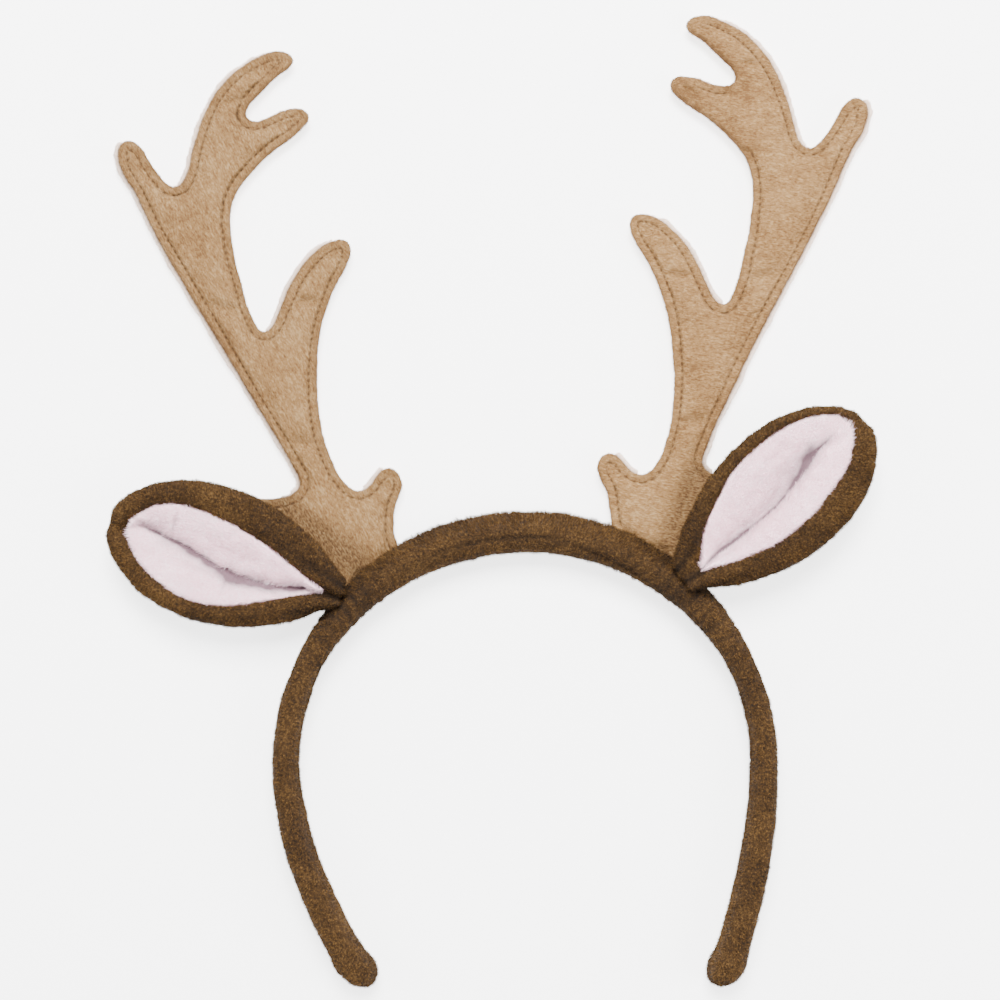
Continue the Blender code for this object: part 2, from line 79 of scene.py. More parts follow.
# Soft lumps of the cloths: millimetres high, millimetres across, and the noise's seed.
BAND_LUMPS = ((0.22, 10.0, 3), (0.13, 3.5, 4))
PANEL_LUMPS = ((0.20, 16.0, 11), (0.08, 5.0, 12))
SHELL_LUMPS = ((0.26, 11.0, 21), (0.12, 3.8, 22))
LINING_LUMPS = ((0.26, 11.0, 31), (0.12, 4.0, 32))

# How far the band's plush stands off its solid, in millimetres, and where it is gathered: degrees
# round the arch, spread in radians, strength.
BAND_SWELL = 0.42
BAND_GATHERS = ((38, 0.20, 1.0), (142, 0.20, 1.0), (62, 0.12, 0.7), (122, 0.10, 0.6))
# The crease along the crown: its place from the arch's middle, 1 on the centreline, its half
# width there, and its depth in millimetres.
CREASE_OUT, CREASE_WIDTH, CREASE_DEPTH = 0.976, 0.0075, 0.70

# Heights of an antler's cloth over its flat side, in millimetres.
CLOTH_EDGE, CLOTH_MARGIN = 0.75, 1.30
CLOTH_BY_SEAM, CLOTH_SHOULDER, CLOTH_MIDDLE, CLOTH_MOST = 1.15, 1.90, 2.52, 2.62
SEAM_GROOVE = 0.62

# How far along an antler's edge its seam takes to stray in and out again, over two pi, and half a
# stitch as a share of the way from one to the next.
SEAM_WANDER, STITCH_HALF = 0.011, 0.38

# Hairs of each pile at full density, how far they stray from their lay, and their first seed.
BAND_PILE = (135000, 0.5, 41)
FRONT_PILE, BACK_PILE = (76000, 0.35, 60), (28000, 0.35, 59)
EAR_PILE = (95000, 0.5, 61)
LINING_PILE = (60000, 0.4, 71)

# Scales of the noise in the colours of the plush and of the antlers' cloth.
PLUSH_PATCHES, PLUSH_TUFTS = 70.0, 1500.0
FELT_PATCHES, FELT_GRAIN, FELT_TUFTS = 75.0, 2400.0, 900.0

# The band's cloth simulation: steps in each frame, pressure, and its last frame.
PADDING_STEPS, PADDING_PRESSURE, PADDING_FRAMES = 6, 4.0, 20

LAMPS = (
    # name, power, size, place
    ("overhead", 40.0, 0.5, (0.0, 0.53, 0.89)),
    ("from_left", 4.0, 0.5, (-0.75, 0.10, 0.55)),
    ("from_right", 8.5, 0.6, (0.80, -0.20, 0.60)),
)
WORLD_STRENGTH = 0.85
FLOOR_SIZE, FLOOR_DEPTH, FLOOR_GLOW = 30.0, 0.0002, 2.6
CAMERA_PLACE, CAMERA_SENSOR, CAMERA_LENS = (0.00241, 0.0, 0.576), 36.0, 72.4


def points_of(mesh):
    """A mesh's points as an array."""
    places = np.empty(len(mesh.vertices) * 3)
    mesh.vertices.foreach_get("co", places)
    return places.reshape(-1, 3)


def put_points(mesh, places):
    """Move a mesh's points to the places of an array."""
    mesh.vertices.foreach_set("co", np.ascontiguousarray(places, dtype=np.float32).ravel())
    mesh.update()


def normals_of(mesh):
    """Outward directions at a mesh's points."""
    facing = np.empty(len(mesh.vertices) * 3, dtype=np.float32)
    mesh.vertex_normals.foreach_get("vector", facing)
    return facing.reshape(-1, 3).astype(float)


def put_attributes(piece, **values):
    """Write attributes that hold one number or one direction for each point of a piece."""
    for name, numbers in values.items():
        kind, field = ("FLOAT_VECTOR", "vector") if numbers.ndim == 2 else ("FLOAT", "value")
        made = piece.data.attributes.new(name, kind, "POINT")
        made.data.foreach_set(field, np.ascontiguousarray(numbers, dtype=np.float32).ravel())


def unit(vectors):
    """Directions of length one."""
    return vectors / np.maximum(np.linalg.norm(vectors, axis=-1, keepdims=True), 1e-12)


def smoothstep(low, high, values):
    """Smooth rise from 0 at low to 1 at high."""
    share = np.clip((values - low) / (high - low), 0.0, 1.0)
    return share * share * (3 - 2 * share)


def bump(values, middle, width):
    """Smooth hump of height one."""
    return np.exp(-(((values - middle) / width) ** 2))


def ripples(places, size, seed, octaves=2):
    """Soft noise between about -1 and 1 at places, its lumps about size across."""
    offset = Vector((seed * 3.71, seed * 1.93, seed * 2.57))
    values = [noise.fractal(Vector(place) / size + offset, 0.9, 2.1, octaves) for place in places]
    return np.array(values)


def lumps(places, rows):
    """Height of a cloth's soft lumps at places, in millimetres."""
    return sum(height * ripples(places, size * MM, seed) for height, size, seed in rows)


def deselect():
    """Leave edit mode and select nothing."""
    if bpy.context.object and bpy.context.object.mode != "OBJECT":
        bpy.ops.object.mode_set(mode="OBJECT")
    bpy.ops.object.select_all(action="DESELECT")


def take(piece):
    """Make a piece the only selected and active object."""
    deselect()
    piece.select_set(True)
    bpy.context.view_layer.objects.active = piece
    return piece


def finish_with(piece, kind, **settings):
    """Add a modifier with its settings and apply it."""
    take(piece)
    modifier = piece.modifiers.new(kind.lower(), kind)
    for name, value in settings.items():
        setattr(modifier, name, value)
    bpy.ops.object.modifier_apply(modifier=modifier.name)


def cloth_over(node, name, voxel, rounds, padding=None):
    """Fine, even mesh over a copy of a solid, ready to be shaped as cloth.

    With padding, a coarser mesh of that size is first blown up by a quarter of a face.
    """
    deselect()
    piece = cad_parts[node].copy()
    piece.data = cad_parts[node].data.copy()
    piece.name = name
    piece.parent = None
    for key in list(piece.keys()):
        del piece[key]
    piece.hide_render = False
    piece.hide_viewport = False
    bpy.context.scene.collection.objects.link(piece)
    take(piece)
    bpy.ops.object.mode_set(mode="EDIT")
    bpy.ops.mesh.select_all(action="SELECT")
    bpy.ops.mesh.remove_doubles(threshold=0.00001)
    bpy.ops.object.mode_set(mode="OBJECT")
    if padding:
        finish_with(piece, "REMESH", mode="VOXEL", voxel_size=padding, adaptivity=0.0)
        puff(piece, padding / 4)
    finish_with(piece, "REMESH", mode="VOXEL", voxel_size=voxel, adaptivity=0.0)
    finish_with(piece, "SMOOTH", factor=0.5, iterations=rounds)
    piece.data.name = name
    piece.data.shade_smooth()
    return piece


def puff(piece, cap):
    """Blow a padded piece up from inside as cloth, and keep each point's move under the cap."""
    before = points_of(piece.data)
    take(piece)
    padding = piece.modifiers.new("padding", "CLOTH")
    padding.settings.quality = PADDING_STEPS
    padding.settings.use_pressure = True
    padding.settings.uniform_pressure_force = PADDING_PRESSURE
    padding.settings.effector_weights.gravity = 0.0
    padding.point_cache.frame_start = 1
    padding.point_cache.frame_end = PADDING_FRAMES
    for moment in range(1, PADDING_FRAMES + 1):
        bpy.context.scene.frame_set(moment)
    bpy.ops.object.modifier_apply(modifier=padding.name)
    bpy.context.scene.frame_set(1)
    move = points_of(piece.data) - before
    length = np.linalg.norm(move, axis=1, keepdims=True)
    put_points(piece.data, before + move * np.minimum(1.0, cap / np.maximum(length, 1e-9)))


def over_floor(places, facing):
    """Share of pile that a cloth keeps: none where it faces the floor that it lies on."""
    low = smoothstep(1.6 * MM, 0.6 * MM, places[:, 2])
    return 1.0 - low * smoothstep(-0.1, -0.6, facing[:, 2])


def settle(piece, slot, material, *nodes):
    """Give a piece its material and its body, and hide the solids that it stands for. Its slot is
    not used.
    """
    piece.data.materials.clear()
    piece.data.materials.append(material)
    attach(piece, "root")
    if nodes:
        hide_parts(*nodes)


class Wire:
    """A socket of a material's nodes, so that sums on values add Math nodes."""

    def __init__(self, finish, socket):
        self.finish = finish
        self.socket = socket

    def join(self, operation, first, second):
        return self.finish.node("ShaderNodeMath", {"operation": operation}, {0: first, 1: second})

    def __add__(self, other):
        return self.join("ADD", self, other)

    def __radd__(self, other):
        return self.join("ADD", other, self)

    def __sub__(self, other):
        return self.join("SUBTRACT", self, other)

    def __rsub__(self, other):
        return self.join("SUBTRACT", other, self)

    def __mul__(self, other):
        return self.join("MULTIPLY", self, other)

    def __rmul__(self, other):
        return self.join("MULTIPLY", other, self)


class Finish:
    """A material and the nodes that drive its Principled surface."""

    def __init__(self, name, roughness=0.9, sheen=0.0, tint=(1.0, 1.0, 1.0, 1.0)):
        self.material = bpy.data.materials.new(name)
        self.material.use_nodes = True
        self.tree = self.material.node_tree
        self.surface = self.tree.nodes["Principled BSDF"]
        self.surface.inputs["Roughness"].default_value = roughness
        self.surface.inputs["Specular IOR Level"].default_value = 0.25
        self.surface.inputs["Sheen Weight"].default_value = sheen
        self.surface.inputs["Sheen Roughness"].default_value = 0.6
        self.surface.inputs["Sheen Tint"].default_value = tint

    def node(self, kind, settings=None, values=None, output=0):
        """Add a node: its settings first, then the values or links of its sockets."""
        made = self.tree.nodes.new(kind)
        for name, value in (settings or {}).items():
            setattr(made, name, value)
        for name, value in (values or {}).items():
            if isinstance(value, Wire):
                self.tree.links.new(value.socket, made.inputs[name])
            else:
                made.inputs[name].default_value = value
        return Wire(self, made.outputs[output])

    def here(self, turn=0.0, stretch=(1.0, 1.0, 1.0)):
        """Object coordinates, with marks drawn out along a direction in the plane."""
        place = self.node("ShaderNodeTexCoord", output="Object")
        return self.node("ShaderNodeMapping", {"vector_type": "TEXTURE"}, {
            "Vector": place, "Rotation": (0.0, 0.0, turn), "Scale": stretch})

    def mottle(self, place, scale, detail=3.0, roughness=0.55, distortion=0.0):
        """Noise between 0 and 1 at a place."""
        return self.node("ShaderNodeTexNoise", values={
            "Vector": place, "Scale": scale, "Detail": detail, "Roughness": roughness,
            "Distortion": distortion})

    def spread(self, value, low, high, to_low=0.0, to_high=1.0):
        """A value's range, clamped and stretched to another."""
        return self.node("ShaderNodeMapRange", {"interpolation_type": "SMOOTHSTEP"}, {
            "Value": value, "From Min": low, "From Max": high,
            "To Min": to_low, "To Max": to_high})

    def attribute(self, name):
        """A number that the mesh holds at each point."""
        return self.node("ShaderNodeAttribute", {"attribute_name": name}, output="Fac")

    def blend(self, share, first, second, how="MIX"):
        """Mix of two colours."""
        return self.node("ShaderNodeMix", {"data_type": "RGBA", "blend_type": how}, {
            0: share, 6: first, 7: second}, output=2)

    def set(self, socket, value):
        """Feed one of the surface's sockets."""
        if isinstance(value, Wire):
            self.tree.links.new(value.socket, self.surface.inputs[socket])
        else:
            self.surface.inputs[socket].default_value = value

    def relief(self, height, strength, distance):
        """Feed a height to the surface's normal."""
        self.set("Normal", self.node("ShaderNodeBump", values={
            "Height": height, "Strength": strength, "Distance": distance}))


def linear(red, green, blue):
    """Colour for a shader from the 0 to 255 values that a screen shows."""
    shares = [value / 255 for value in (red, green, blue)]
    steps = [s / 12.92 if s <= 0.04045 else ((s + 0.055) / 1.055) ** 2.4 for s in shares]
    return (*steps, 1.0)


def plush_finishes(name, deep, middle, pale, shadow, root=0.55):
    """Finishes of a plush cloth: its ground under the pile, and the pile.

    Painted shade: an attribute takes the colour towards the shadow colour where the cloth lies deep
    in folds, creases and gathers.
    """
    found = []
    for part, shade in (("ground", root), ("pile", 1.0)):
        finish = Finish(f"{name}_{part}", roughness=0.95, sheen=0.1, tint=middle)
        place = finish.here()
        patches = finish.mottle(place, PLUSH_PATCHES, 3.0, 0.6)
        tufts = finish.mottle(place, PLUSH_TUFTS, 2.0, 0.6)
        tone = patches * 0.32 + tufts * 0.68
        if part == "pile":
            tone = tone * 0.75 + finish.attribute("fleck") * 0.25
        else:
            finish.relief(tufts, 0.6, 0.0005)
        dark = finish.blend(finish.spread(tone, 0.31, 0.52), deep, middle)
        colour = finish.blend(finish.spread(tone, 0.49, 0.70), dark, pale)
        # Painted shade deep in the folds, creases and gathers.
        colour = finish.blend(finish.attribute("hollow"), colour, shadow)
        finish.set("Base Color", finish.blend(1.0, colour, [shade] * 3 + [1.0], "MULTIPLY"))
        found.append(finish.material)
    return found


def blade_shape():
    """One hair of pile: a narrow upright triangle one long and one wide."""
    deselect()
    bpy.ops.mesh.primitive_circle_add(vertices=3, radius=1.0, fill_type="NGON", location=(0, 0, 0))
    blade = bpy.context.object
    blade.name = "pile_hair"
    for point, place in zip(blade.data.vertices, ((-0.5, 0, 0), (0.5, 0, 0), (0.12, 0, 1))):
        point.co = place
    return blade


def pile_over(cloth, name, blade, count, length, width, ruffle, seed):
    """Separate mesh of pile hairs that grow from a cloth along its lay.

    The cloth's attributes steer them: lay is their direction, thick their share of the densest
    pile and long their share of the full length.
    """
    take(cloth)
    bpy.ops.object.duplicate()
    pile = bpy.context.object
    pile.name = name
    pile.data.name = name
    tree = bpy.data.node_groups.new("grow_pile", "GeometryNodeTree")
    tree.interface.new_socket("Geometry", in_out="INPUT", socket_type="NodeSocketGeometry")
    tree.interface.new_socket("Geometry", in_out="OUTPUT", socket_type="NodeSocketGeometry")

    def feed(socket, value):
        if isinstance(value, bpy.types.NodeSocket):
            tree.links.new(value, socket)
        else:
            socket.default_value = value

    def add(kind, settings=None, **values):
        made = tree.nodes.new(kind)
        for key, value in (settings or {}).items():
            setattr(made, key, value)
        for key, value in values.items():
            feed(made.inputs[key.replace("_", " ")], value)
        return made

    def stored(attribute, kind):
        found = add("GeometryNodeInputNamedAttribute", {"data_type": kind}, Name=attribute)
        return found.outputs["Attribute"]

    def chance(low, high, shift):
        made = add("FunctionNodeRandomValue", {"data_type": "FLOAT"}, Seed=seed + shift)
        feed(made.inputs[2], low)
        feed(made.inputs[3], high)
        return made.outputs[1]

    def times(first, second):
        made = add("ShaderNodeMath", {"operation": "MULTIPLY"})
        feed(made.inputs[0], first)
        feed(made.inputs[1], second)
        return made.outputs[0]

    area = sum(face.area for face in cloth.data.polygons)
    start = add("NodeGroupInput")
    roots = add("GeometryNodeDistributePointsOnFaces", {"distribute_method": "RANDOM"},
                Mesh=start.outputs[0], Density=times(stored("thick", "FLOAT"), count / area),
                Seed=seed)
    stray = add("FunctionNodeRandomValue", {"data_type": "FLOAT_VECTOR"}, Seed=seed + 1)
    feed(stray.inputs[0], (-ruffle,) * 3)
    feed(stray.inputs[1], (ruffle,) * 3)
    growing = add("ShaderNodeVectorMath", {"operation": "ADD"})
    feed(growing.inputs[0], stored("lay", "FLOAT_VECTOR"))
    feed(growing.inputs[1], stray.outputs[0])
    upright = add("FunctionNodeAlignRotationToVector", {"axis": "Z"}, Vector=growing.outputs[0])
    faced = add("FunctionNodeAlignRotationToVector", {"axis": "Y", "pivot_axis": "Z"},
                Rotation=upright.outputs[0], Vector=roots.outputs["Normal"])
    roll = add("FunctionNodeAxisAngleToRotation", Axis=(0.0, 0.0, 1.0),
               Angle=chance(-0.7, 0.7, 2))
    turned = add("FunctionNodeRotateRotation", {"rotation_space": "LOCAL"},
                 Rotation=faced.outputs[0], Rotate_By=roll.outputs[0])
    reach = times(times(stored("long", "FLOAT"), chance(0.6, 1.15, 3)), length)
    size = add("ShaderNodeCombineXYZ", X=times(chance(0.7, 1.3, 4), width), Y=1.0, Z=reach)
    hair = add("GeometryNodeObjectInfo", Object=blade)
    grown = add("GeometryNodeInstanceOnPoints", Points=roots.outputs["Points"],
                Instance=hair.outputs["Geometry"], Rotation=turned.outputs[0],
                Scale=size.outputs[0])
    flecked = add("GeometryNodeStoreNamedAttribute", {"data_type": "FLOAT", "domain": "INSTANCE"},
                  Geometry=grown.outputs[0], Name="fleck", Value=chance(0.0, 1.0, 5))
    real = add("GeometryNodeRealizeInstances", Geometry=flecked.outputs[0])
    end = add("NodeGroupOutput")
    tree.links.new(real.outputs[0], end.inputs[0])
    modifier = pile.modifiers.new("grow_pile", "NODES")
    modifier.node_group = tree
    bpy.ops.object.modifier_apply(modifier=modifier.name)
    bpy.data.node_groups.remove(tree)
    return pile


def on_arch(places):
    """How places lie to the arch: how far out, 1 on its centreline, their angle and way out."""
    across = (places[:, 0] - ARCH_MIDDLE.x) / ARCH_HALF_WIDTH
    up = (places[:, 1] - ARCH_MIDDLE.y) / ARCH_RISE
    above = np.maximum(up, 0.0)
    outward = unit(np.stack([across, above, np.zeros(len(places))], axis=-1))
    return np.hypot(across, above), np.arctan2(up, across), outward


def comb_plush(cloth, places, facing, comb, curl, long, hollow):
    """Steer a brown plush's pile along its comb, with curls, tufts and none facing the floor."""
    swirl = curl[:, None] * np.cross(facing, comb)
    # The painted shade is stored for the finish, along with the pile's lay.
    put_attributes(cloth, lay=facing + comb * 0.45 + swirl, thick=over_floor(places, facing),
                   long=long, hollow=np.clip(hollow, 0.0, 1.0))


def make_band(settings):
    """Plush cover of the band, creased along its crown and combed along its length."""
    band = cloth_over("headband", "band_plush", settings.band_voxel, 5, settings.band_padding)
    places, facing = points_of(band.data), normals_of(band.data)
    out, angle, outward = on_arch(places)
    along = np.cross(outward, (0.0, 0.0, 1.0))
    run = angle * ARCH_HALF_WIDTH
    to_right = np.cos(angle)
    crown = smoothstep(0.55, 0.95, np.sin(np.clip(angle, 0.0, math.pi)))
    gathered = sum(strength * bump(angle, math.radians(at), spread)
                   for at, spread, strength in BAND_GATHERS)
    wrinkles = np.sin(run / (0.6 * MM) + 3.4 * ripples(places, 7 * MM, 5)
                      + places[:, 2] / (0.9 * MM) + out * 26.0)
    crease_out = (CREASE_OUT + 0.012 * ripples(places, 14 * MM, 6, 1)
                  - 0.036 * smoothstep(0.0, 0.45, to_right))
    crease = crown * bump(out, crease_out, CREASE_WIDTH) * smoothstep(0.2, 0.5, facing[:, 2])
    crease *= smoothstep(-0.6, -0.2, to_right) * (0.75 + 0.5 * ripples(places, 9 * MM, 10, 1))
    raised = BAND_SWELL + lumps(places, BAND_LUMPS) - CREASE_DEPTH * crease
    raised += wrinkles * (0.03 + 0.15 * gathered) * (1.0 + 0.6 * ripples(places, 5 * MM, 9))
    # Painted shade in the crown's crease, in the gathered wrinkles and in pleats beside the ears'
    # bases.
    hollow = 0.62 * crease + np.clip(-wrinkles, 0.0, 1.0) * gathered * 0.40
    for side in SIDES:
        base, _, _ = ear_frame(side)
        reach = np.linalg.norm(places[:, :2] - base[:2], axis=1)
        pleats = 0.6 + 0.4 * np.sin(run / (0.7 * MM))
        hollow += 0.45 * smoothstep(10.5 * MM, 5.0 * MM, reach) * pleats
    put_points(band.data, places + facing * raised[:, None] * MM)
    comb = unit(along * np.sign(to_right)[:, None] + 0.25 * outward)
    tufted = 1.0 + 0.7 * crown * smoothstep(0.3, 0.9, np.sum(facing * outward, axis=1))
    long = np.clip((0.90 + 0.85 * ripples(places, 1.3 * MM, 8, 1)) * tufted, 0.2, 2.4)
    comb_plush(band, places, facing, comb, 0.5 * ripples(places, 8 * MM, 7, 1), long, hollow)
    return band


def edge_loop(node, plain):
    """Points of a panel's outline in order, from the flat side of its solid at height plain."""
    shape = bmesh.new()
    shape.from_mesh(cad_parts[node].data)
    bmesh.ops.remove_doubles(shape, verts=shape.verts, dist=0.00001)
    flat = {face for face in shape.faces
            if all(abs(point.co.z - plain) < 0.00002 for point in face.verts)}
    after = {}
    for edge in shape.edges:
        if len([face for face in edge.link_faces if face in flat]) == 1:
            for first, second in ((0, 1), (1, 0)):
                after.setdefault(edge.verts[first].index, []).append(edge.verts[second].index)
    shape.verts.ensure_lookup_table()
    start = next(iter(after))
    order, last = [start], None
    while True:
        ways = [index for index in after[order[-1]] if index != last]
        last = order[-1]
        if ways[0] == start or len(order) > len(after):
            break
        order.append(ways[0])
    loop = np.array([shape.verts[index].co.xy[:] for index in order])
    shape.free()
    area = np.sum(loop[:, 0] * np.roll(loop[:, 1], -1) - loop[:, 1] * np.roll(loop[:, 0], -1))
    return loop if area > 0 else loop[::-1]


def free_edge(loop):
    """Straight pieces of an antler's outline that stand free of the band."""
    ends = np.roll(loop, -1, axis=0)
    middles = np.zeros((len(loop), 3))
    middles[:, :2] = (loop + ends) / 2
    out, _, _ = on_arch(middles)
    return out > 1.085, loop, ends


def to_free_edge(places, loop):
    """How places lie to the free outline: distance, way round, inward direction and rounding.

    Rounding is how far a smooth curve through the outline's points bulges past its straight piece.
    """
    free, starts, ends = free_edge(loop)
    lengths = np.linalg.norm(ends - starts, axis=1)
    rounds = np.concatenate([[0.0], np.cumsum(lengths)[:-1]])
    nearest = np.full(len(places), 1.0)
    way = np.zeros(len(places))
    inward = np.zeros((len(places), 2))
    rounding = np.zeros((len(places), 2))
    for index in np.flatnonzero(free):
        begin, end, length = starts[index], ends[index], lengths[index]
        along = (end - begin) / length
        from_begin = places[:, :2] - begin
        reach = np.clip(from_begin @ along, 0.0, length)
        offset = from_begin - reach[:, None] * along
        distance = np.linalg.norm(offset, axis=1)
        closer = distance < nearest
        share = (reach[closer] / length)[:, None]
        before = begin - loop[index - 1]
        beyond = loop[(index + 2) % len(loop)] - end
        slope_begin = (along + unit(before)) / 2 * length
        slope_end = (along + unit(beyond)) / 2 * length
        curve = (begin * (1 + 2 * share) * (1 - share) ** 2 + end * share ** 2 * (3 - 2 * share)
                 + slope_begin * share * (1 - share) ** 2 - slope_end * share ** 2 * (1 - share))
        nearest[closer] = distance[closer]
        way[closer] = rounds[index] + reach[closer]
        inward[closer] = (-along[1], along[0])
        rounding[closer] = curve - begin - share * (end - begin)
    return nearest, way, inward, rounding


def nap_turn(side, settings):
    """Direction in which an antler's nap lies."""
    return settings.nap_turn_left if side == "left" else settings.nap_turn_right


def panel_height(distance, settings):
    """Height of an antler's cloth above its flat side, at a distance from its free edge."""
    margin = CLOTH_EDGE + (CLOTH_MARGIN - CLOTH_EDGE) * np.sqrt(
        np.clip(distance / (0.4 * MM), 0.0, 1.0))
    beyond = np.clip(distance - settings.seam_inset, 0.0, None)
    padded = CLOTH_BY_SEAM + (CLOTH_SHOULDER - CLOTH_BY_SEAM) * np.sqrt(
        np.clip(beyond / (0.9 * MM), 0.0, 1.0))
    padded += (CLOTH_MIDDLE - CLOTH_SHOULDER) * np.sin(
        np.clip(beyond / (6.0 * MM), 0.0, 1.0) * math.pi / 2)
    full = np.where(beyond > 0.0, padded, margin)
    return (full - SEAM_GROOVE * bump(distance, settings.seam_inset, 0.3 * MM)) * MM


# Where an antler's front has no stitches, because the cloth rolls over its edge there, where its
# nap is brushed dark, and where an ear's shadow is painted on it: a line from one point to another
# and its half width, in millimetres, and how strong it is.
UNSEWN = {
    "left": (),
    "right": (
        ((58.0, 131.5), (71.0, 118.0), 3.6, 1.0),
        ((54.5, 114.7), (70.5, 102.5), 3.5, 1.0),
    ),
}
BRUSHED = {
    "left": (
        ((-69.0, 108.0), (-62.0, 121.0), 2.6, 0.35),
        ((-84.0, 60.0), (-70.0, 30.0), 4.0, 0.30),
        ((-50.0, 33.0), (-42.0, 60.0), 3.0, 0.25),
    ),
    "right": (
        ((58.0, 131.5), (71.0, 116.0), 4.2, 0.75),
        ((54.5, 114.7), (72.0, 99.0), 4.4, 0.75),
        ((74.0, 96.0), (80.0, 70.0), 3.5, 0.22),
        ((60.0, 40.0), (63.0, 20.0), 4.0, 0.20),
    ),
}
SHADED = {
    "left": (((-60.0, -2.5), (-39.0, -18.0), 5.0, 0.85),),
    "right": (((59.0, 6.0), (50.0, -17.0), 5.0, 0.85),),
}


def along_lines(places, lines):
    """Strongest share, 0 to 1, of soft lines drawn on the antlers."""
    found = np.zeros(len(places))
    for first, second, half_width, strength in lines:
        start, end = np.array(first) * MM, np.array(second) * MM
        line, from_start = end - start, places[:, :2] - start
        reach = np.clip(from_start @ line / (line @ line), 0, 1)
        away = np.linalg.norm(from_start - reach[:, None] * line, axis=1)
        found = np.maximum(found, strength * smoothstep(1.5, 0.4, away / (half_width * MM)))
    return found


def make_panel(side, layer, settings):
    """One cloth of an antler: flat margin, sunk seam and padded middle."""
    front = layer == "front"
    node = f"antler_{side}_{layer}"
    voxel = settings.antler_voxel * (1.0 if front else 1.7)
    panel = cloth_over(node, f"{node}_cloth", voxel, 3)
    places = points_of(panel.data)
    plain, facing = ANTLER_PLAIN[layer], ANTLER_FACING[layer]
    loop = edge_loop(node, plain)
    distance, way, inward, rounding = to_free_edge(places, loop)
    # How far each point lies from the flat side, as a share of the solid's thickness there.
    thickness = np.interp(distance, (0.0, 0.0023, 0.0030, 0.0043), (0.0012, 0.0009, 0.0021, 0.0026))
    share = np.clip(np.abs(places[:, 2] - plain) / np.maximum(thickness, 0.5 * MM), 0.0, 1.0)
    # Points next to the seam move onto it, and those at the edge out to its smooth curve.
    inset = settings.seam_inset * (1.0 + settings.seam_stray * np.sin(way / SEAM_WANDER))
    snap = np.where(np.abs(inset - distance) < 0.45 * voxel, inset - distance, 0.0)
    places[:, :2] += snap[:, None] * inward
    distance = distance + snap
    places[:, :2] += rounding * smoothstep(3.0 * MM, 0.2 * MM, distance)[:, None]
    out, _, outward = on_arch(places)
    tucked = 0.5 * MM * smoothstep(1.105, 1.085, out) * smoothstep(0.0, 2.0 * MM, distance)
    places -= tucked[:, None] * outward
    rolled = along_lines(places, UNSEWN[side]) if front else np.zeros(len(places))
    from_seam = distance - inset * (1.0 - rolled) + settings.seam_inset
    pucker = (np.sin(math.pi * way / settings.stitch_pitch)
              * bump(from_seam, 3.6 * MM, 1.1 * MM))
    raised = panel_height(from_seam, settings)
    raised += MM * (lumps(places, PANEL_LUMPS) * smoothstep(2.3 * MM, 4.5 * MM, distance)
                    + 0.07 * pucker + 0.05 * ripples(places, 2.5 * MM, 13))
    raised = np.minimum(raised, CLOTH_MOST * MM) * smoothstep(0.0, 0.8, share)
    places[:, 2] = plain + facing * raised
    frayed = 0.16 * MM * ripples(places, 3.0 * MM, 14) * bump(distance, 0.0, 1.0 * MM)
    places[:, :2] -= inward * frayed[:, None]
    if not front:
        turned_out = smoothstep(0.1, 0.6, -inward[:, 0] * OUTWARD[side])
        bare = 1.1 * MM * (1.0 + 0.4 * ripples(places, 6.0 * MM, 17, 1)) * turned_out
        places[:, :2] -= inward * (bare * bump(distance, 0.0, 1.2 * MM))[:, None]
    put_points(panel.data, places)
    normals = normals_of(panel.data)
    turning = nap_turn(side, settings) + 0.5 * ripples(places, 30.0 * MM, 15, 1)
    comb = np.stack([np.cos(turning), np.sin(turning), np.zeros(len(places))], axis=-1)
    fringe = bump(distance, 0.0, 0.7 * MM)
    dense = 1.0 - 0.85 * (np.abs(normals[:, 2]) > 0.9) * (share < 0.3)
    dense *= 1.0 - 0.9 * bump(from_seam, settings.seam_inset, 0.4 * MM)
    # Painted shade down in the sunk seam, darker in dashes between the stitches.
    dashes = 0.68 + 0.32 * np.cos(2 * math.pi * way / settings.stitch_pitch)
    seam = bump(from_seam, settings.seam_inset, 0.48 * MM) * (share > 0.5) * (1.0 - rolled)
    worn = along_lines(places, BRUSHED[side]) if front else np.zeros(len(places))
    margin = 0.22 * smoothstep(0.2 * MM, -0.2 * MM, from_seam - settings.seam_inset)
    # The ears' painted shadow lies along the lines of SHADED.
    put_attributes(
        panel,
        lay=normals * (0.6 + fringe[:, None]) + comb * 0.7,
        thick=(dense + 1.5 * fringe) * over_floor(places, normals),
        long=0.8 + 0.35 * ripples(places, 2.5 * MM, 16, 1),
        seam=seam * dashes,
        raw=smoothstep(1.2 * MM, 0.4 * MM, distance) * (not front),
        brushed=np.clip(worn + margin, 0.0, 1.0),
        hollow=along_lines(places, SHADED[side]),
    )
    return panel, loop


def ear_frame(side):
    """Where an ear starts, and its directions along and across."""
    angle = math.radians(EAR_SEAT[side])
    point = Vector((ARCH_HALF_WIDTH * math.cos(angle), ARCH_RISE * math.sin(angle), 0.0))
    outward = Vector((ARCH_RISE * math.cos(angle), ARCH_HALF_WIDTH * math.sin(angle), 0.0))
    base = point + outward.normalized() * EAR_STANDOFF[side]
    base.x *= OUTWARD[side]
    heading = math.radians(EAR_HEADING[side])
    along = Vector((OUTWARD[side] * math.cos(heading), math.sin(heading), 0.0))
    across = Vector((-OUTWARD[side] * math.sin(heading), math.cos(heading), 0.0))
    return np.array(base + ARCH_MIDDLE), np.array(along), np.array(across)


def in_ear(side, places):
    """Share of the ear's length and place across it."""
    base, along, across = ear_frame(side)
    return (places - base) @ along / EAR_LENGTH[side], (places - base) @ across


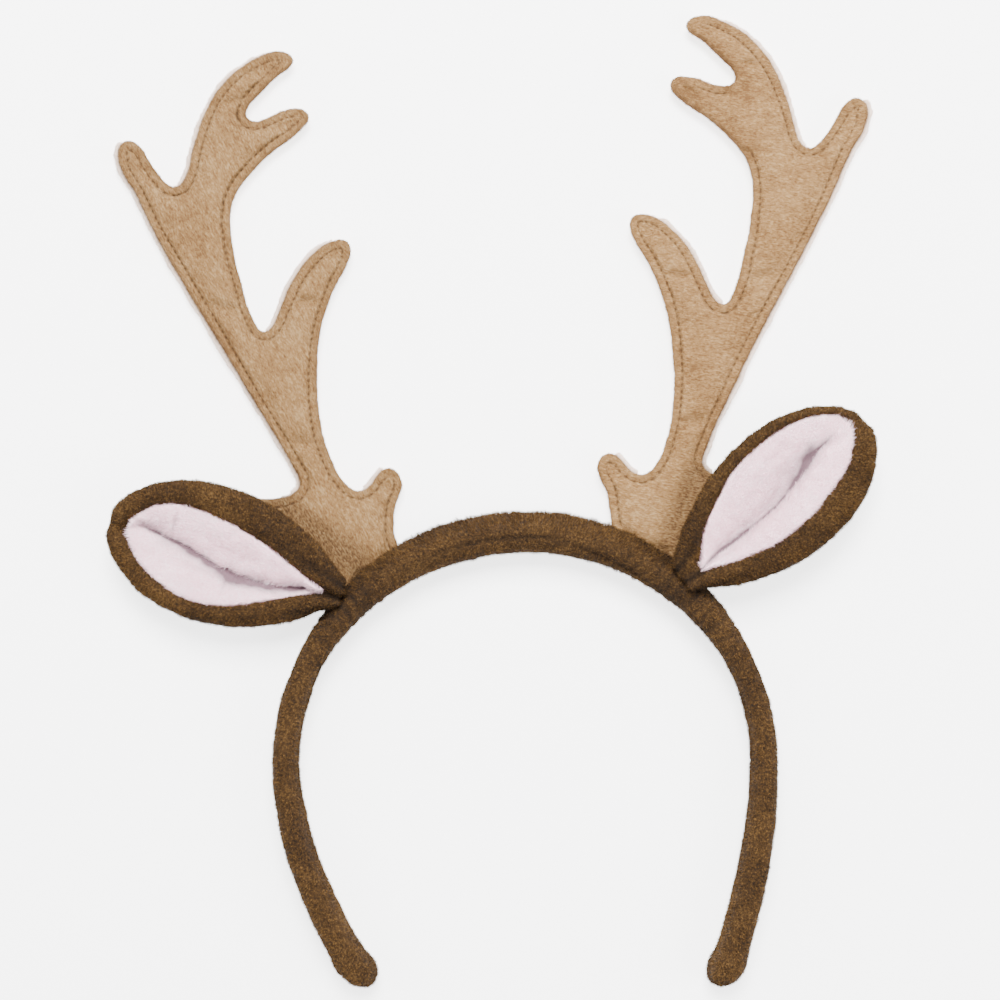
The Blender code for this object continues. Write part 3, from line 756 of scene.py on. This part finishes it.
def make_shell(side, settings):
    """Brown back and rolled rim of an ear, gathered where it is sewn to the band."""
    shell = cloth_over(f"ear_{side}_shell", f"ear_{side}_plush", settings.ear_voxel, 9)
    places, facing = points_of(shell.data), normals_of(shell.data)
    share, across = in_ear(side, places)
    _, along, over = ear_frame(side)
    fan = 9.0 * across / (0.006 + 0.03 * np.clip(share, 0.0, 1.0))
    gathers = np.sin(fan + 1.1 * ripples(places, 9 * MM, 23, 1)) * smoothstep(0.34, 0.03, share)
    raised = lumps(places, SHELL_LUMPS) + 0.34 * gathers
    drawn = -EAR_PINCH[side] * across * smoothstep(0.16, -0.01, share)
    places = places + facing * raised[:, None] * MM + drawn[:, None] * over
    put_points(shell.data, places)
    comb = unit(0.75 * along + 0.5 * np.sign(across)[:, None] * over)
    long = np.clip(0.90 + 0.85 * ripples(places, 1.3 * MM, 25, 1), 0.2, 2.2)
    # Painted shade in the troughs of the gathers and at the ear's base.
    hollow = np.clip(-gathers, 0.0, 1.0) * 0.55 + 0.25 * smoothstep(0.10, 0.0, share)
    comb_plush(shell, places, facing, comb, 0.45 * ripples(places, 9 * MM, 24, 1), long, hollow)
    return shell


# The linings' folds. Share of the ear's length, how far across the ear the fold lies, how far
# that is from the solid's fold, how far the overhanging lobe leans over it and how much deeper
# it is, all but the share in millimetres. A positive lean is of the upper lobe.
LINING_FOLD = {
    "left": (
        # share, across, moved, lean, deeper
        (0.08, -0.4, 0.4, 0.0, 0.3),
        (0.16, -1.7, -0.3, 0.2, 0.6),
        (0.30, -2.9, -1.0, 1.4, 0.4),
        (0.40, -2.8, -1.2, 2.0, 0.6),
        (0.50, -1.9, -1.0, 1.9, 0.7),
        (0.60, -0.6, -0.8, 1.5, 0.6),
        (0.70, 0.6, -0.9, 1.1, 0.5),
        (0.80, 1.4, -0.5, 0.5, 0.4),
        (0.90, 1.8, 0.2, 0.1, 0.1),
    ),
    "right": (
        # share, across, moved, lean, deeper
        (0.08, -0.9, -0.6, -0.2, 0.1),
        (0.16, -1.2, -0.6, -0.5, 0.2),
        (0.30, -2.0, -0.7, -0.9, 0.3),
        (0.40, -2.3, -0.8, -1.2, 0.5),
        (0.50, -2.2, -1.0, -1.4, 0.9),
        (0.60, -1.0, -0.7, -1.3, 1.0),
        (0.70, 0.9, -0.4, -1.0, 0.9),
        (0.80, 2.6, 0.2, -0.5, 0.6),
        (0.90, 3.4, 0.2, 0.0, 0.0),
    ),
}
# Height of the linings' lower lobe at four shares of the ear's length, in millimetres.
LINING_DEPTH = {"left": (14.4, 14.6, 14.4, 13.6), "right": (13.8, 13.8, 13.8, 13.6)}
# How wide the painted shade in the linings' folds is along the ear: shares of its length, and
# widths.
LINING_SHADE = {
    "left": ((0.10, 0.22, 0.36, 0.45, 0.55, 0.70, 0.90), (1.4, 1.5, 2.3, 3.2, 2.1, 1.2, 0.5)),
    "right": ((0.10, 0.20, 0.45, 0.58, 0.70, 0.78, 0.90), (1.4, 0.9, 0.8, 0.9, 1.7, 1.2, 0.2)),
}
# How far the linings' outer ends are drawn in, in metres.
LINING_TIP = {"left": 0.0012, "right": -0.0004}
# Small marks pressed into the linings, with painted shade in them: share along, millimetres across,
# their half sizes along and across in millimetres, and how deep they are.
LINING_MARKS = {
    "left": (
        # share, across, long, wide, deep
        (0.735, 5.5, 0.5, 2.4, 0.50),
        (0.85, 2.6, 3.4, 1.0, 0.70),
        (0.80, 4.6, 3.4, 2.0, 0.22),
        (0.47, -7.4, 0.5, 2.4, 0.40),
        (0.44, -4.7, 3.4, 1.7, 0.80),
        (0.30, -4.1, 5.5, 1.1, 0.45),
        (0.155, -0.9, 2.4, 1.2, 1.20),
    ),
    "right": (
        # share, across, long, wide, deep
        (0.72, 3.2, 2.2, 1.6, 0.62),
        (0.76, 4.6, 1.6, 1.3, 0.55),
        (0.82, 1.8, 2.6, 0.5, 0.50),
        (0.62, 4.2, 5.0, 2.6, 0.25),
        (0.12, -0.9, 2.6, 0.5, 0.60),
    ),
}


def make_lining(side, settings):
    """Pale lining of an ear: two soft lobes, one of which leans over the long fold between them."""
    lining = cloth_over(f"ear_{side}_lining", f"ear_{side}_lining_plush", settings.lining_voxel, 4)
    places, facing = points_of(lining.data), normals_of(lining.data)
    share, across = in_ear(side, places)
    _, along, over = ear_frame(side)
    rows = np.array(LINING_FOLD[side])
    fold, moved, lean, deeper = (
        np.interp(share, rows[:, 0], rows[:, column]) * MM for column in (1, 2, 3, 4))
    marks = [(deep, bump((share - at) * EAR_LENGTH[side], 0.0, long * MM)
              * bump(across, middle * MM, wide * MM))
             for at, middle, long, wide, deep in LINING_MARKS[side]]
    base_end = smoothstep(0.19, 0.09, share)
    depth = np.interp(share, (0.1, 0.2, 0.8, 0.92), LINING_DEPTH[side]) * MM - places[:, 2]

    # Across the ear the fold moves to its place, and a lobe leans over it by its wavy edge.
    shift = moved * bump(across, fold - moved, 5.0 * MM)
    beyond = np.sign(lean) * (across + shift - fold)
    wavy = 1.0 + 0.7 * ripples(places, 4.5 * MM, 34, 1)
    upward = smoothstep(-0.1, 0.5, facing[:, 2])
    shift -= lean * wavy * bump(beyond, 2.1 * MM, 1.5 * MM) * upward
    shift += (fold - across) * 0.8 * base_end
    swell = lumps(places, LINING_LUMPS)
    # Along it the base is drawn out to a point, and the other end is rounded.
    rounded = smoothstep(1.0 * MM, 3.2 * MM, np.abs(across + 0.6 * MM))
    inwards = LINING_TIP[side] * (smoothstep(0.82, 0.95, share)
                                  + 0.6 * rounded * smoothstep(0.90, 0.96, share))
    inwards += EAR_LENGTH[side] * 0.018 * base_end
    lift = 0.5 * MM * bump(beyond, 3.0 * MM, 1.8 * MM) * smoothstep(0.0, MM, np.abs(lean))
    lift += (np.abs(moved) - 0.35 * deeper) * bump(beyond, -0.4 * MM, 1.6 * MM)
    lift -= MM * sum(deep * spot for deep, spot in marks)
    places = places + shift[:, None] * over - inwards[:, None] * along
    places += facing * swell[:, None] * MM
    places[:, 2] += lift
    put_points(lining.data, places)

    facing = normals_of(lining.data)
    comb = unit(0.8 * along + 0.35 * np.sign(across)[:, None] * over)
    # Painted shade under the leaning lobe along the fold, at the base end, deep in the lining and
    # in the pressed marks; it also thins the pile there.
    folded = smoothstep(0.0, 0.6 * MM, np.abs(lean))
    under = smoothstep(0.6 * MM, -0.4 * MM, beyond)
    shade = np.interp(share, *LINING_SHADE[side])
    hollow = 1.25 * bump(beyond, -0.3 * MM * shade, 0.8 * MM * shade) * folded
    hollow += 0.5 * smoothstep(0.13, 0.08, share)
    hollow += smoothstep(0.0, 5.0 * MM, depth) * (0.12 + 0.6 * shade * folded * under) * 0.85
    hollow += 0.85 * sum(deep * spot for deep, spot in marks)
    hollow = np.clip(hollow * (0.85 + 0.30 * ripples(places, 3.0 * MM, 35)), 0.0, 1.0)
    long = 0.85 + 0.4 * ripples(places, 2.5 * MM, 33, 1)
    long *= 1.0 + 0.8 * smoothstep(0.85, 0.40, facing[:, 2])
    put_attributes(
        lining,
        lay=facing * 0.8 + comb * 0.7,
        thick=smoothstep(-0.2, 0.2, facing[:, 2]) * (1.0 - 0.7 * hollow),
        long=long * (1.0 - 0.5 * hollow),
        hollow=hollow * 0.92,
    )
    return lining


# Painted shade of each antler's cloth, beside the colours that are set: the left one is painted
# darker, as its nap catches more of the light.
CLOTH_PAINTED_SHADE = {"left": 0.84, "right": 1.0}


def felt_finishes(side, colours, settings):
    """Finishes of antler cloth: brushed ground, darker patches, painted seam shade and ear shadow,
    nap.
    """
    found = []
    for part, shade in (("ground", 0.94), ("nap", 1.0)):
        shade *= CLOTH_PAINTED_SHADE[side]
        finish = Finish(f"antler_cloth_{side}_{part}", roughness=0.92, sheen=0.08,
                        tint=colours.beige)
        place = finish.here()
        combed = finish.here(nap_turn(side, settings), (2.6, 1.0, 1.0))
        patches = finish.mottle(place, FELT_PATCHES, 3.0, 0.55, 0.3)
        grain = finish.mottle(combed, FELT_GRAIN, 2.0, 0.6)
        tufts = finish.mottle(combed, FELT_TUFTS, 2.0, 0.6, 0.4)
        tone = patches * 0.20 + grain * 0.50 + tufts * 0.30
        if part == "ground":
            finish.relief(grain * 0.6 + tufts * 0.4, 0.7, 0.0005)
        else:
            tone = tone * 0.8 + finish.attribute("fleck") * 0.2
        tone = tone - finish.attribute("brushed") * 0.10
        dark = finish.blend(finish.spread(tone, 0.36, 0.52), colours.beige_deep, colours.beige)
        colour = finish.blend(finish.spread(tone, 0.50, 0.64), dark, colours.beige_pale)
        colour = finish.blend(finish.attribute("raw"), colour, colours.raw)
        # Painted shadow of the ears, broken up by the grain.
        shaded = finish.attribute("hollow") * finish.spread(grain, 0.30, 0.62, 1.0, 0.45)
        colour = finish.blend(shaded, colour, colours.seam)
        # Painted shade down in the stitched seam.
        seam = finish.spread(finish.attribute("seam"), 0.20, 0.95, 0.0, 0.8)
        sunk = finish.blend(seam, colour, colours.seam)
        finish.set("Base Color", finish.blend(1.0, sunk, [shade] * 3 + [1.0], "MULTIPLY"))
        found.append(finish.material)
    return found


def thread_finish(colour):
    """Twisted sewing thread."""
    finish = Finish("antler_thread", roughness=0.7)
    twist = finish.mottle(finish.here(0.7), 1800.0, 1.0, 0.5)
    dark = [value * 0.55 for value in colour[:3]] + [1.0]
    finish.set("Base Color", finish.blend(finish.spread(twist, 0.3, 0.7, 0.2), dark, colour))
    return finish.material


def stitch_shape():
    """One stitch: a short thread whose ends dip into the cloth, one long and lying along X."""
    deselect()
    bpy.ops.mesh.primitive_cylinder_add(vertices=4, radius=0.5, depth=1.0, end_fill_type="TRIFAN",
                                        rotation=(0.0, math.pi / 2, 0.0))
    bpy.ops.object.transform_apply(location=False, rotation=True, scale=False)
    stitch = take(bpy.context.object)
    stitch.name = "stitch"
    bpy.ops.object.mode_set(mode="EDIT")
    for share in (-0.22, 0.22):
        bpy.ops.mesh.select_all(action="SELECT")
        bpy.ops.mesh.bisect(plane_co=(share, 0.0, 0.0), plane_no=(1.0, 0.0, 0.0))
    bpy.ops.object.mode_set(mode="OBJECT")
    for point in stitch.data.vertices:
        end = abs(point.co.x) * 2
        narrow = 1.0 - 0.45 * end ** 4
        point.co.y *= narrow
        point.co.z = point.co.z * narrow - 1.1 * end ** 2
    stitch.data.shade_smooth()
    return stitch


def seam_path(loop, settings):
    """Points of an antler's seam, from one end of its free edge to the other."""
    free, starts, ends = free_edge(loop)
    lengths = np.linalg.norm(ends - starts, axis=1)
    along = (ends - starts) / lengths[:, None]
    inward = np.stack([-along[:, 1], along[:, 0]], axis=-1)
    way = np.cumsum(lengths) - lengths / 2
    inset = settings.seam_inset * (1.0 + settings.seam_stray * np.sin(way / SEAM_WANDER))
    order = (np.arange(len(loop)) + np.argmin(free)) % len(loop)
    path = ((starts + ends) / 2 + inward * inset[:, None])[order[free[order]]]
    for _ in range(2):
        path[1:-1] = (path[:-2] + 2 * path[1:-1] + path[2:]) / 4
    return path


def sew(side, layer, loop, stitch, settings):
    """Topstitching round an antler's cloth: one joined mesh of equal stitches."""
    facing, pitch, width = ANTLER_FACING[layer], settings.stitch_pitch, settings.thread_width
    height = ANTLER_PLAIN[layer] + facing * settings.stitch_height
    half = pitch * STITCH_HALF
    path = seam_path(loop, settings)
    gone = np.concatenate([[0.0], np.cumsum(np.linalg.norm(np.diff(path, axis=0), axis=1))])

    def at(way):
        return np.array([np.interp(way, gone, path[:, axis]) for axis in (0, 1)])

    joined = bmesh.new()
    shape = [np.array(point.co) for point in stitch.data.vertices]
    faces = [tuple(face.vertices) for face in stitch.data.polygons]
    for number in range(int(gone[-1] / pitch)):
        middle = (number + 0.5) * pitch
        here = at(middle)
        if layer == "front" and along_lines(here[None, :], UNSEWN[side])[0] > 0.3:
            continue
        along = unit(at(middle + half) - at(middle - half))
        over = np.array((-along[1], along[0]))
        made = []
        for x, y, z in shape:
            spot = here + along * x * 2 * half + over * y * width
            made.append(joined.verts.new((*spot, height + facing * z * width * 0.8)))
        for face in faces:
            joined.faces.new([made[index] for index in face])
    bmesh.ops.recalc_face_normals(joined, faces=joined.faces[:])
    thread = bpy.data.meshes.new(f"antler_{side}_{layer}_stitches")
    joined.to_mesh(thread)
    joined.free()
    thread.shade_smooth()
    piece = bpy.data.objects.new(thread.name, thread)
    bpy.context.scene.collection.objects.link(piece)
    return piece


def size_setting(label, about, value, least=0.0003):
    """Length that a user can set, in metres."""
    return bpy.props.FloatProperty(name=label, description=about, default=value, min=least,
                                   unit="LENGTH")


def turn_setting(label, about, degrees):
    """Angle that a user can set."""
    return bpy.props.FloatProperty(name=label, description=about, default=math.radians(degrees),
                                   subtype="ANGLE")


def share_setting(label, about, value, least, most):
    """Share that a user can set."""
    return bpy.props.FloatProperty(name=label, description=about, default=value, min=least,
                                   max=most, subtype="FACTOR")


def colour_setting(label, about, *shown):
    """Colour that a user can set, from its 0 to 255 values on a screen."""
    return bpy.props.FloatVectorProperty(name=label, description=about, default=linear(*shown),
                                         size=4, min=0.0, max=1.0, subtype="COLOR")


class HEADBAND_PG_cloth(bpy.types.PropertyGroup):
    """Sizes of the cloth pieces."""

    band_voxel: size_setting("Band mesh", "Size of a face on the band's cover", 0.00072)
    band_padding: size_setting(
        "Band padding mesh", "Size of a face while the band's padding swells", 0.0016, 0.001)
    antler_voxel: size_setting("Antler mesh", "Size of a face on the antlers' cloth", 0.00046)
    ear_voxel: size_setting("Ear mesh", "Size of a face on the ears", 0.0006)
    lining_voxel: size_setting("Lining mesh", "Size of a face on the ears' linings", 0.0005)
    seam_inset: size_setting(
        "Seam inset", "How far inside the antler's edge the stitches run", 0.0023, 0.001)
    seam_stray: share_setting(
        "Seam stray", "How far the seam strays, as a share of its inset", 0.12, 0.0, 0.5)
    stitch_pitch: size_setting(
        "Stitch pitch", "Distance from one stitch to the next", 0.0019, 0.001)
    stitch_height: size_setting(
        "Stitch height", "Height of the thread over the cloth's flat side", 0.00062, 0.0002)
    thread_width: size_setting("Thread width", "Width of the sewing thread", 0.00034, 0.0001)
    nap_turn_left: turn_setting(
        "Left nap", "Direction in which the left antler's nap lies", 118)
    nap_turn_right: turn_setting(
        "Right nap", "Direction in which the right antler's nap lies", 172)


class HEADBAND_PG_pile(bpy.types.PropertyGroup):
    """Length and density of the pile."""

    brown_length: size_setting("Brown pile", "Length of the brown plush's hairs", 0.00080)
    pink_length: size_setting("Pink pile", "Length of the pink plush's hairs", 0.0011)
    beige_length: size_setting(
        "Beige nap", "Length of the antler cloth's nap", 0.00055, 0.0002)
    hair_width: size_setting(
        "Hair width", "Width of a tuft of hairs at its root", 0.00019, 0.00005)
    share: share_setting("Density", "Share of the full number of hairs", 1.0, 0.05, 1.0)


class HEADBAND_PG_colours(bpy.types.PropertyGroup):
    """Colours of the cloths."""

    brown_deep: colour_setting("Brown, deep", "Brown plush between its tufts", 26, 15, 5)
    brown: colour_setting("Brown", "Brown plush", 66, 44, 17)
    brown_pale: colour_setting(
        "Brown, pale", "Brown plush where its tips catch the light", 107, 79, 42)
    # Painted shade of the brown plush deep in its folds and gathers.
    brown_shadow: colour_setting("Brown, hollow", "Brown plush deep in its folds", 18, 9, 3)
    pink_deep: colour_setting("Pink, deep", "Lining between its tufts", 244, 206, 216)
    pink: colour_setting("Pink", "Lining of the ears", 255, 224, 232)
    pink_pale: colour_setting("Pink, pale", "Lining where its tips catch the light", 255, 241, 245)
    # Painted shade of the lining deep in its fold.
    pink_shadow: colour_setting("Pink, hollow", "Lining deep in its fold", 84, 57, 67)
    beige_deep: colour_setting(
        "Beige, deep", "Antler cloth brushed against its nap", 100, 70, 39)
    beige: colour_setting("Beige", "Antler cloth", 132, 100, 62)
    beige_pale: colour_setting(
        "Beige, pale", "Antler cloth where its nap catches the light", 157, 127, 87)
    # Painted shade down in the stitched seam; the ears' painted shadow on the antlers takes it too.
    seam: colour_setting("Seam", "Antler cloth down in the stitched seam", 60, 40, 21)
    raw: colour_setting("Raw edge", "Unbrushed edge of the antlers' back cloth", 240, 218, 204)
    floor: colour_setting("Floor", "Plain floor that the headband lies on", 250, 250, 250)


def add_pile(cloth, slot, material, pile, number, length, width):
    """Grow one of the piles on a cloth and give it its finish."""
    count, ruffle, seed = pile
    count *= bpy.context.scene.headband_pile.share
    blade = bpy.data.objects.get("pile_hair") or blade_shape()
    grown = pile_over(cloth, f"{cloth.name}_pile", blade, count, length, width, ruffle,
                      seed + number)
    settle(grown, slot, material)


def brown_finishes(name):
    """Finishes of brown plush, in the colours that are set."""
    colours = bpy.context.scene.headband_colours
    return plush_finishes(name, colours.brown_deep, colours.brown, colours.brown_pale,
                          colours.brown_shadow)


class HEADBAND_OT_band(bpy.types.Operator):
    """Cover the band in brown plush"""

    bl_idname = "headband.band"
    bl_label = "Band"

    def execute(self, context):
        pile = context.scene.headband_pile
        ground, hairs = brown_finishes("band_plush")
        band = make_band(context.scene.headband_cloth)
        add_pile(band, "brown_plush", hairs, BAND_PILE, 0, pile.brown_length, pile.hair_width)
        settle(band, "brown_plush", ground, "headband")
        return {"FINISHED"}


class HEADBAND_OT_antlers(bpy.types.Operator):
    """Sew the antlers' front and back cloths"""

    bl_idname = "headband.antlers"
    bl_label = "Antlers"

    def execute(self, context):
        colours, pile = context.scene.headband_colours, context.scene.headband_pile
        settings = context.scene.headband_cloth
        thread = thread_finish(colours.beige)
        stitch = stitch_shape()
        for number, side in enumerate(SIDES):
            ground, nap = felt_finishes(side, colours, settings)
            for layer, hairs in (("front", FRONT_PILE), ("back", BACK_PILE)):
                panel, loop = make_panel(side, layer, settings)
                add_pile(panel, "beige_plush", nap, hairs, number, pile.beige_length,
                         pile.hair_width * 0.75)
                sewn = sew(side, layer, loop, stitch, settings)
                settle(sewn, "beige_plush", thread)
                settle(panel, "beige_plush", ground, f"antler_{side}_{layer}")
        bpy.data.objects.remove(stitch)
        return {"FINISHED"}


class HEADBAND_OT_ears(bpy.types.Operator):
    """Make the ears' brown backs and rims"""

    bl_idname = "headband.ears"
    bl_label = "Ears"

    def execute(self, context):
        pile = context.scene.headband_pile
        ground, hairs = brown_finishes("ear_plush")
        for number, side in enumerate(SIDES):
            shell = make_shell(side, context.scene.headband_cloth)
            add_pile(shell, "brown_plush", hairs, EAR_PILE, number, pile.brown_length,
                     pile.hair_width)
            settle(shell, "brown_plush", ground, f"ear_{side}_shell")
        return {"FINISHED"}


class HEADBAND_OT_linings(bpy.types.Operator):
    """Line the ears in pale plush"""

    bl_idname = "headband.linings"
    bl_label = "Ear linings"

    def execute(self, context):
        colours, pile = context.scene.headband_colours, context.scene.headband_pile
        ground, hairs = plush_finishes("lining_plush", colours.pink_deep, colours.pink,
                                       colours.pink_pale, colours.pink_shadow, root=1.0)
        for number, side in enumerate(SIDES):
            lining = make_lining(side, context.scene.headband_cloth)
            add_pile(lining, "pink_plush", hairs, LINING_PILE, number, pile.pink_length,
                     pile.hair_width)
            settle(lining, "pink_plush", ground, f"ear_{side}_lining")
        return {"FINISHED"}


class HEADBAND_OT_stage(bpy.types.Operator):
    """Lay the headband on a pale floor under soft light"""

    bl_idname = "headband.stage"
    bl_label = "Stage"

    def execute(self, context):
        deselect()
        bpy.ops.mesh.primitive_plane_add(size=FLOOR_SIZE, location=(0.0, 0.0, -FLOOR_DEPTH))
        floor = bpy.context.object
        floor.name = "floor"
        paper = Finish("floor_paper", roughness=0.95)
        grain = paper.mottle(paper.here(), 900.0, 2.0, 0.5)
        pale = context.scene.headband_colours.floor
        worn = [value * 0.985 for value in pale[:3]] + [1.0]
        paper.set("Base Color", paper.blend(grain * 0.3, pale, worn))
        paper.set("Emission Color", (1.0, 1.0, 1.0, 1.0))
        paper.set("Emission Strength", FLOOR_GLOW)
        floor.data.materials.append(paper.material)
        for name, power, size, place in LAMPS:
            bpy.ops.object.light_add(type="AREA", location=place)
            lamp = bpy.context.object
            lamp.name = name
            lamp.data.energy = power
            lamp.data.size = size
            lamp.rotation_mode = "QUATERNION"
            lamp.rotation_quaternion = (-Vector(place)).to_track_quat("-Z", "Y")
        world = bpy.data.worlds.new("studio")
        world.use_nodes = True
        sky = world.node_tree.nodes["Background"].inputs
        sky["Color"].default_value = (1.0, 1.0, 1.0, 1.0)
        sky["Strength"].default_value = WORLD_STRENGTH
        context.scene.world = world
        bpy.ops.object.camera_add(location=CAMERA_PLACE)
        camera = bpy.context.object
        camera.name = "photo_camera"
        camera.rotation_mode = "QUATERNION"
        camera.rotation_quaternion = Vector((0.0, 0.0, -1.0)).to_track_quat("-Z", "Y")
        camera.data.sensor_width = CAMERA_SENSOR
        camera.data.lens = CAMERA_LENS
        camera.data.clip_start = 0.01
        camera.data.clip_end = 40.0
        context.scene.camera = camera
        return {"FINISHED"}


class HEADBAND_PT_panel(bpy.types.Panel):
    """Buttons and sizes of the headband's pieces"""

    bl_idname = "HEADBAND_PT_panel"
    bl_label = "Headband"
    bl_space_type = "VIEW_3D"
    bl_region_type = "UI"
    bl_category = "Headband"

    def draw(self, context):
        for operator in OPERATORS:
            self.layout.operator(operator.bl_idname)
        for group in ("headband_cloth", "headband_pile", "headband_colours"):
            settings = getattr(context.scene, group)
            box = self.layout.box()
            for name in settings.__annotations__:
                box.prop(settings, name)


GROUPS = {
    "headband_cloth": HEADBAND_PG_cloth,
    "headband_pile": HEADBAND_PG_pile,
    "headband_colours": HEADBAND_PG_colours,
}
OPERATORS = (
    HEADBAND_OT_stage,
    HEADBAND_OT_band,
    HEADBAND_OT_antlers,
    HEADBAND_OT_ears,
    HEADBAND_OT_linings,
)


def register():
    for kind in (*GROUPS.values(), *OPERATORS, HEADBAND_PT_panel):
        bpy.utils.register_class(kind)
    for name, group in GROUPS.items():
        setattr(bpy.types.Scene, name, bpy.props.PointerProperty(type=group))


def unregister():
    for name in GROUPS:
        delattr(bpy.types.Scene, name)
    for kind in (HEADBAND_PT_panel, *reversed(OPERATORS), *reversed(list(GROUPS.values()))):
        bpy.utils.unregister_class(kind)


def main():
    register()
    for operator in OPERATORS:
        group, name = operator.bl_idname.split(".")
        getattr(getattr(bpy.ops, group), name)()
    blade = bpy.data.objects.get("pile_hair")
    if blade:
        bpy.data.objects.remove(blade)


if __name__ == "__main__":
    main()
